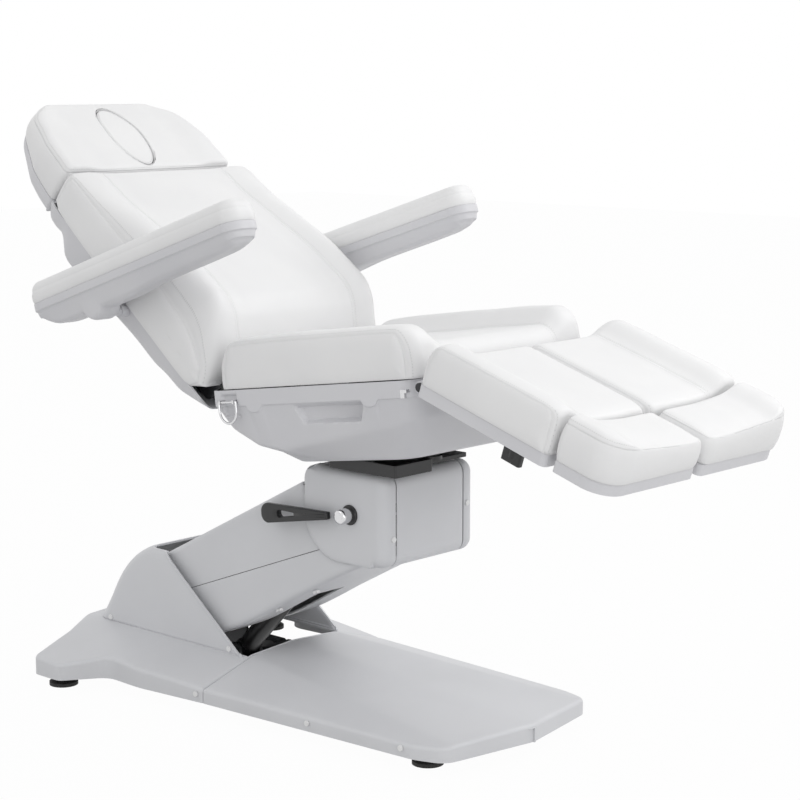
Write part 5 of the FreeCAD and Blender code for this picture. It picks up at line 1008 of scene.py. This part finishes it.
def frontSkin(form, line):
    # a strip of the outline from the rear top corner, over the front, to a little way underneath,
    # carried across; its two edges are sunk by sunkEdge, and the roof is open over the turntable
    start = np.argmin(np.hypot(line[:, 0] - form["frontFrom"][0], line[:, 1] - form["frontFrom"][1]))
    strip = np.roll(line, -start, 0)
    strip = strip[:np.where((strip[:, 1] < form["frontLow"]) & (strip[:, 0] < form["armTo"][0]))[0][0]]
    ahead = np.gradient(strip, axis=0)
    out = stacked(-ahead[:, 1], ahead[:, 0]) / np.linalg.norm(ahead, axis=1)[:, None]
    half = form["panel"]
    sunkEdge = np.array([2.2, 0.6, 0.0])
    fromEdge = np.array([0.0, 0.6, 2.0])
    plain = np.linspace(-half + 8.0, half - 8.0, 27)
    across = np.concatenate([-half + fromEdge, plain, half - fromEdge[::-1]])
    sunk = np.concatenate([sunkEdge, np.zeros(len(plain)), sunkEdge[::-1]])
    flat = strip - out * sunk[:, None, None]
    points, faces = asGrid(stacked(flat[..., 0], across[:, None], flat[..., 1] + form["middleZ"]))
    middle = points[faces].mean(1)
    ringX, ringR, roofZ = form["ring"]
    inRing = np.hypot(middle[:, 0] - ringX, middle[:, 1]) < ringR
    faces = faces[~(inRing & (middle[:, 2] > roofZ))]
    return thickened(points, facing(points, faces, 0, 1), form["wall"])


rigidPiece("housingFront", *frontSkin(housing, housingLine), ground, "grey_plastic", "head",
           ("housing_front_cover",))

# Lower cover of the lift arm, in the arm's own slope; its front end runs on inside the housing
armPlace = {"x": -494.9, "z": 183.0, "pitch": -20.5}
armCover = {"stations": [(78, 111), (150, 115), (215, 113), (400, 88), (560, 67), (672, 56)], "count": 60,
            "half": 130.0, "top": -0.6, "slot": (70.0, 412.0, 43.0), "wall": 3.5}
coverX, coverDeep = np.array(armCover["stations"], float).T
guides = []
for x in np.linspace(coverX[0], coverX[-1], armCover["count"]):
    floorZ = -float(curveThrough(coverX, coverDeep, x))
    guides.append([(x, armCover["half"] - 1.2, armCover["top"]), (x, armCover["half"], armCover["top"] - 1.4),
                   (x, armCover["half"], floorZ), (x, 0, floorZ)])
points, faces = mirroredSkin(guides, None, [0.5, 14.0], 8.0)
middle = points[faces].mean(1)
low, high, half = armCover["slot"]
under = (middle[:, 2] < -40) & (np.abs(middle[:, 1]) < half) & (middle[:, 0] > low) & (middle[:, 0] < high)
trayPiece("armLowerCover", points, faces[~under], armCover["wall"], armPlace, "grey_plastic", "arm",
          ("arm_lower_cover",))

# Brake lever: chromed hub on a dark seat, black handle that widens to a rounded end with a drop-shaped hole
lever = {"x": 110.5, "z": 461.9, "slope": 6.0, "y": -162.0, "thick": 8.0, "edge": 5.5, "hubY": -141.0,
         "corners": [(-40.0, -8.0, 3), (-40.0, 8.0, 3), (-236.0, 23.0, 19), (-236.0, -23.0, 19)],
         "hole": [(-136, -3.0, 2.9), (-136, 3.0, 2.9), (-186, 8.5, 8.0), (-186, -8.5, 8.0)],
         "hub": [(3.5, 15.0), (6, 16.0), (26, 16.0), (30, 15.4), (33, 13.4), (34.2, 10.0), (33.4, 8.6),
                 (33.4, 4.0)],
         "seat": [(0.0, 21.0), (2.6, 21.0), (3.4, 20.2), (3.4, 10.0)]}
leverPlace = {"x": lever["x"], "z": lever["z"], "pitch": -lever["slope"]}


def atBearings(outline, line):
    # the points of a closed line at the bearings of the outline's points, seen from the line's middle
    centre = line.mean(0)
    wanted = np.arctan2(outline[:, 1] - centre[1], outline[:, 0] - centre[0])
    bearing = np.arctan2(line[:, 1] - centre[1], line[:, 0] - centre[0])
    order = np.argsort(bearing)
    wide = np.concatenate([bearing[order] + turn for turn in (-2 * math.pi, 0.0, 2 * math.pi)])
    return stacked(*(np.interp(wanted, wide, np.tile(line[order, k], 3)) for k in (0, 1)))


def leverSkin(form):
    # rings from the hole's rounded edge over the face to the rounded outer edge, and back on the other face
    plan = roundedPlan(form["corners"], 3.0)
    hole = atBearings(plan, roundedPlan(form["hole"], 1.0))
    normal = outlineNormals(plan)
    toPlan = plan - hole
    toPlan /= np.maximum(np.linalg.norm(toPlan, axis=1), 1e-6)[:, None]
    thick = form["thick"]
    lip = [(hole, thick - 2.5), (hole + toPlan * 0.8, thick - 0.8), (hole + toPlan * 2.4, thick)]
    edge = [(plan - normal * form["edge"] * (1 - math.cos(a)), thick - form["edge"] * (1 - math.sin(a)))
            for a in np.linspace(rightAngle, 0, 6)]
    first, last = lip[-1][0], edge[0][0]
    face = lip + [(first + (last - first) * t, thick) for t in (0.3, 0.65)] + edge
    rings = [stacked(flat[:, 0], out, flat[:, 1]) for flat, out in face]
    rings += [stacked(flat[:, 0], -out, flat[:, 1]) for flat, out in reversed(face)]
    return asGrid(np.stack(rings), loopRows=True, loopCols=True)


def spun(profile, count=64):
    # profile of (distance along -y, radius) turned about the y axis, closed at both ends
    angle = np.linspace(0, 2 * math.pi, count, endpoint=False)
    profile = [(profile[0][0], 0.01)] + profile + [(profile[-1][0], 0.01)]
    rows = [stacked(r * np.cos(angle), -float(out), r * np.sin(angle)) for out, r in profile]
    return asGrid(np.stack(rows), loopCols=True)


rigidPiece("brakeHandle", *leverSkin(lever), leverPlace, "black_plastic", "brake", ("brake_handle",),
           y=lever["y"])
rigidPiece("brakeHub", *spun(lever["hub"]), leverPlace, "chrome_metal", "brake", ("brake_hub",),
           y=lever["hubY"])
rigidPiece("brakeSeat", *spun(lever["seat"]), leverPlace, "black_plastic", "brake", ("brake_hub",),
           y=lever["hubY"])
print("housing, arm cover and brake lever made")

# Stage, light and camera
stage = {"half": 14, "tone": 0.62, "rough": 0.8, "specular": 0.2, "whiteShare": 0.975, "sky": 0.79}
white = (1.0, 1.0, 1.0, 1.0)


def whiteOnSight(tree, shade, share):
    # what the camera and mirrors see is lifted towards plain white; the rest stays as lit
    sight = newNode(tree, "LightPath", {}).outputs
    mirrored = mathNode(tree, "MAXIMUM", sight["Is Glossy Ray"], sight["Is Transmission Ray"])
    seen = mathNode(tree, "MAXIMUM", sight["Is Camera Ray"], mirrored)
    glow = newNode(tree, "Emission", {"Color": white, "Strength": 1.0}).outputs["Emission"]
    share = mathNode(tree, "MULTIPLY", seen, share)
    return newNode(tree, "MixShader", {"Fac": share, 1: shade, 2: glow}).outputs["Shader"]


half = stage["half"]
floorMesh = bpy.data.meshes.new("floor")
floorMesh.from_pydata([(-half, -half, 0), (half, -half, 0), (half, half, 0), (-half, half, 0)], [],
                      [(0, 1, 2, 3)])
floor = bpy.data.objects.new("floor", floorMesh)
bpy.context.scene.collection.objects.link(floor)
floorPaint, floorTree, floorShader = newMaterial("floorPaint", stage)
floorShader.inputs["Base Color"].default_value = (stage["tone"], stage["tone"], stage["tone"], 1.0)
floorShader.inputs["Roughness"].default_value = stage["rough"]
floorTree.links.new(whiteOnSight(floorTree, floorShader.outputs["BSDF"], stage["whiteShare"]),
                    floorTree.nodes["Material Output"].inputs["Surface"])
floorMesh.materials.append(floorPaint)

world = bpy.data.worlds.new("studio")
bpy.context.scene.world = world
world.use_nodes = True
sky = world.node_tree.nodes["Background"]
sky.inputs["Color"].default_value = white
sight = newNode(world.node_tree, "LightPath", {}).outputs
seen = mathNode(world.node_tree, "MAXIMUM", sight["Is Camera Ray"], sight["Is Glossy Ray"])
glow = rangeNode(world.node_tree, seen, 0.0, 1.0, stage["sky"], 1.0)
world.node_tree.links.new(glow, sky.inputs["Strength"])

lamps = {
    "keyLamp": {"at": (-1.2, -2.6, 3.6), "aim": (0.0, 0.0, 0.7), "size": 2.6, "power": 8},
    "topLamp": {"at": (1.6, 2.3, 3.0), "aim": (0.25, 0.0, 0.2), "size": 2.4, "power": 40},
    "fillLamp": {"at": (4.0, -1.7, 1.35), "aim": (0.1, 0.0, 0.4), "size": 2.4, "power": 31},
}
for name, lamp in lamps.items():
    data = bpy.data.lights.new(name, "AREA")
    data.shape = "SQUARE"
    data.size = lamp["size"]
    data.energy = lamp["power"]
    thing = bpy.data.objects.new(name, data)
    bpy.context.scene.collection.objects.link(thing)
    thing.location = lamp["at"]
    # tipped from straight down to the aim, then turned to its bearing
    reach = np.array(lamp["aim"]) - np.array(lamp["at"])
    thing.rotation_euler = (math.acos(reach[2] / np.linalg.norm(reach)) - math.pi, 0.0,
                            math.atan2(reach[1], reach[0]) + rightAngle)

view = {"at": (2.9705, -3.114, 1.351), "turn": (81.02, 0.0, 42.47), "focal": 2065.0, "picture": 800.0,
        "sensor": 36.0}
lens = bpy.data.cameras.new("camera")
lens.sensor_width = view["sensor"]
lens.lens = view["focal"] / view["picture"] * view["sensor"]
camera = bpy.data.objects.new("camera", lens)
bpy.context.scene.collection.objects.link(camera)
camera.location = view["at"]
camera.rotation_euler = [math.radians(a) for a in view["turn"]]
bpy.context.scene.camera = camera
bpy.context.scene.view_settings.view_transform = "Standard"

print("scene ready")
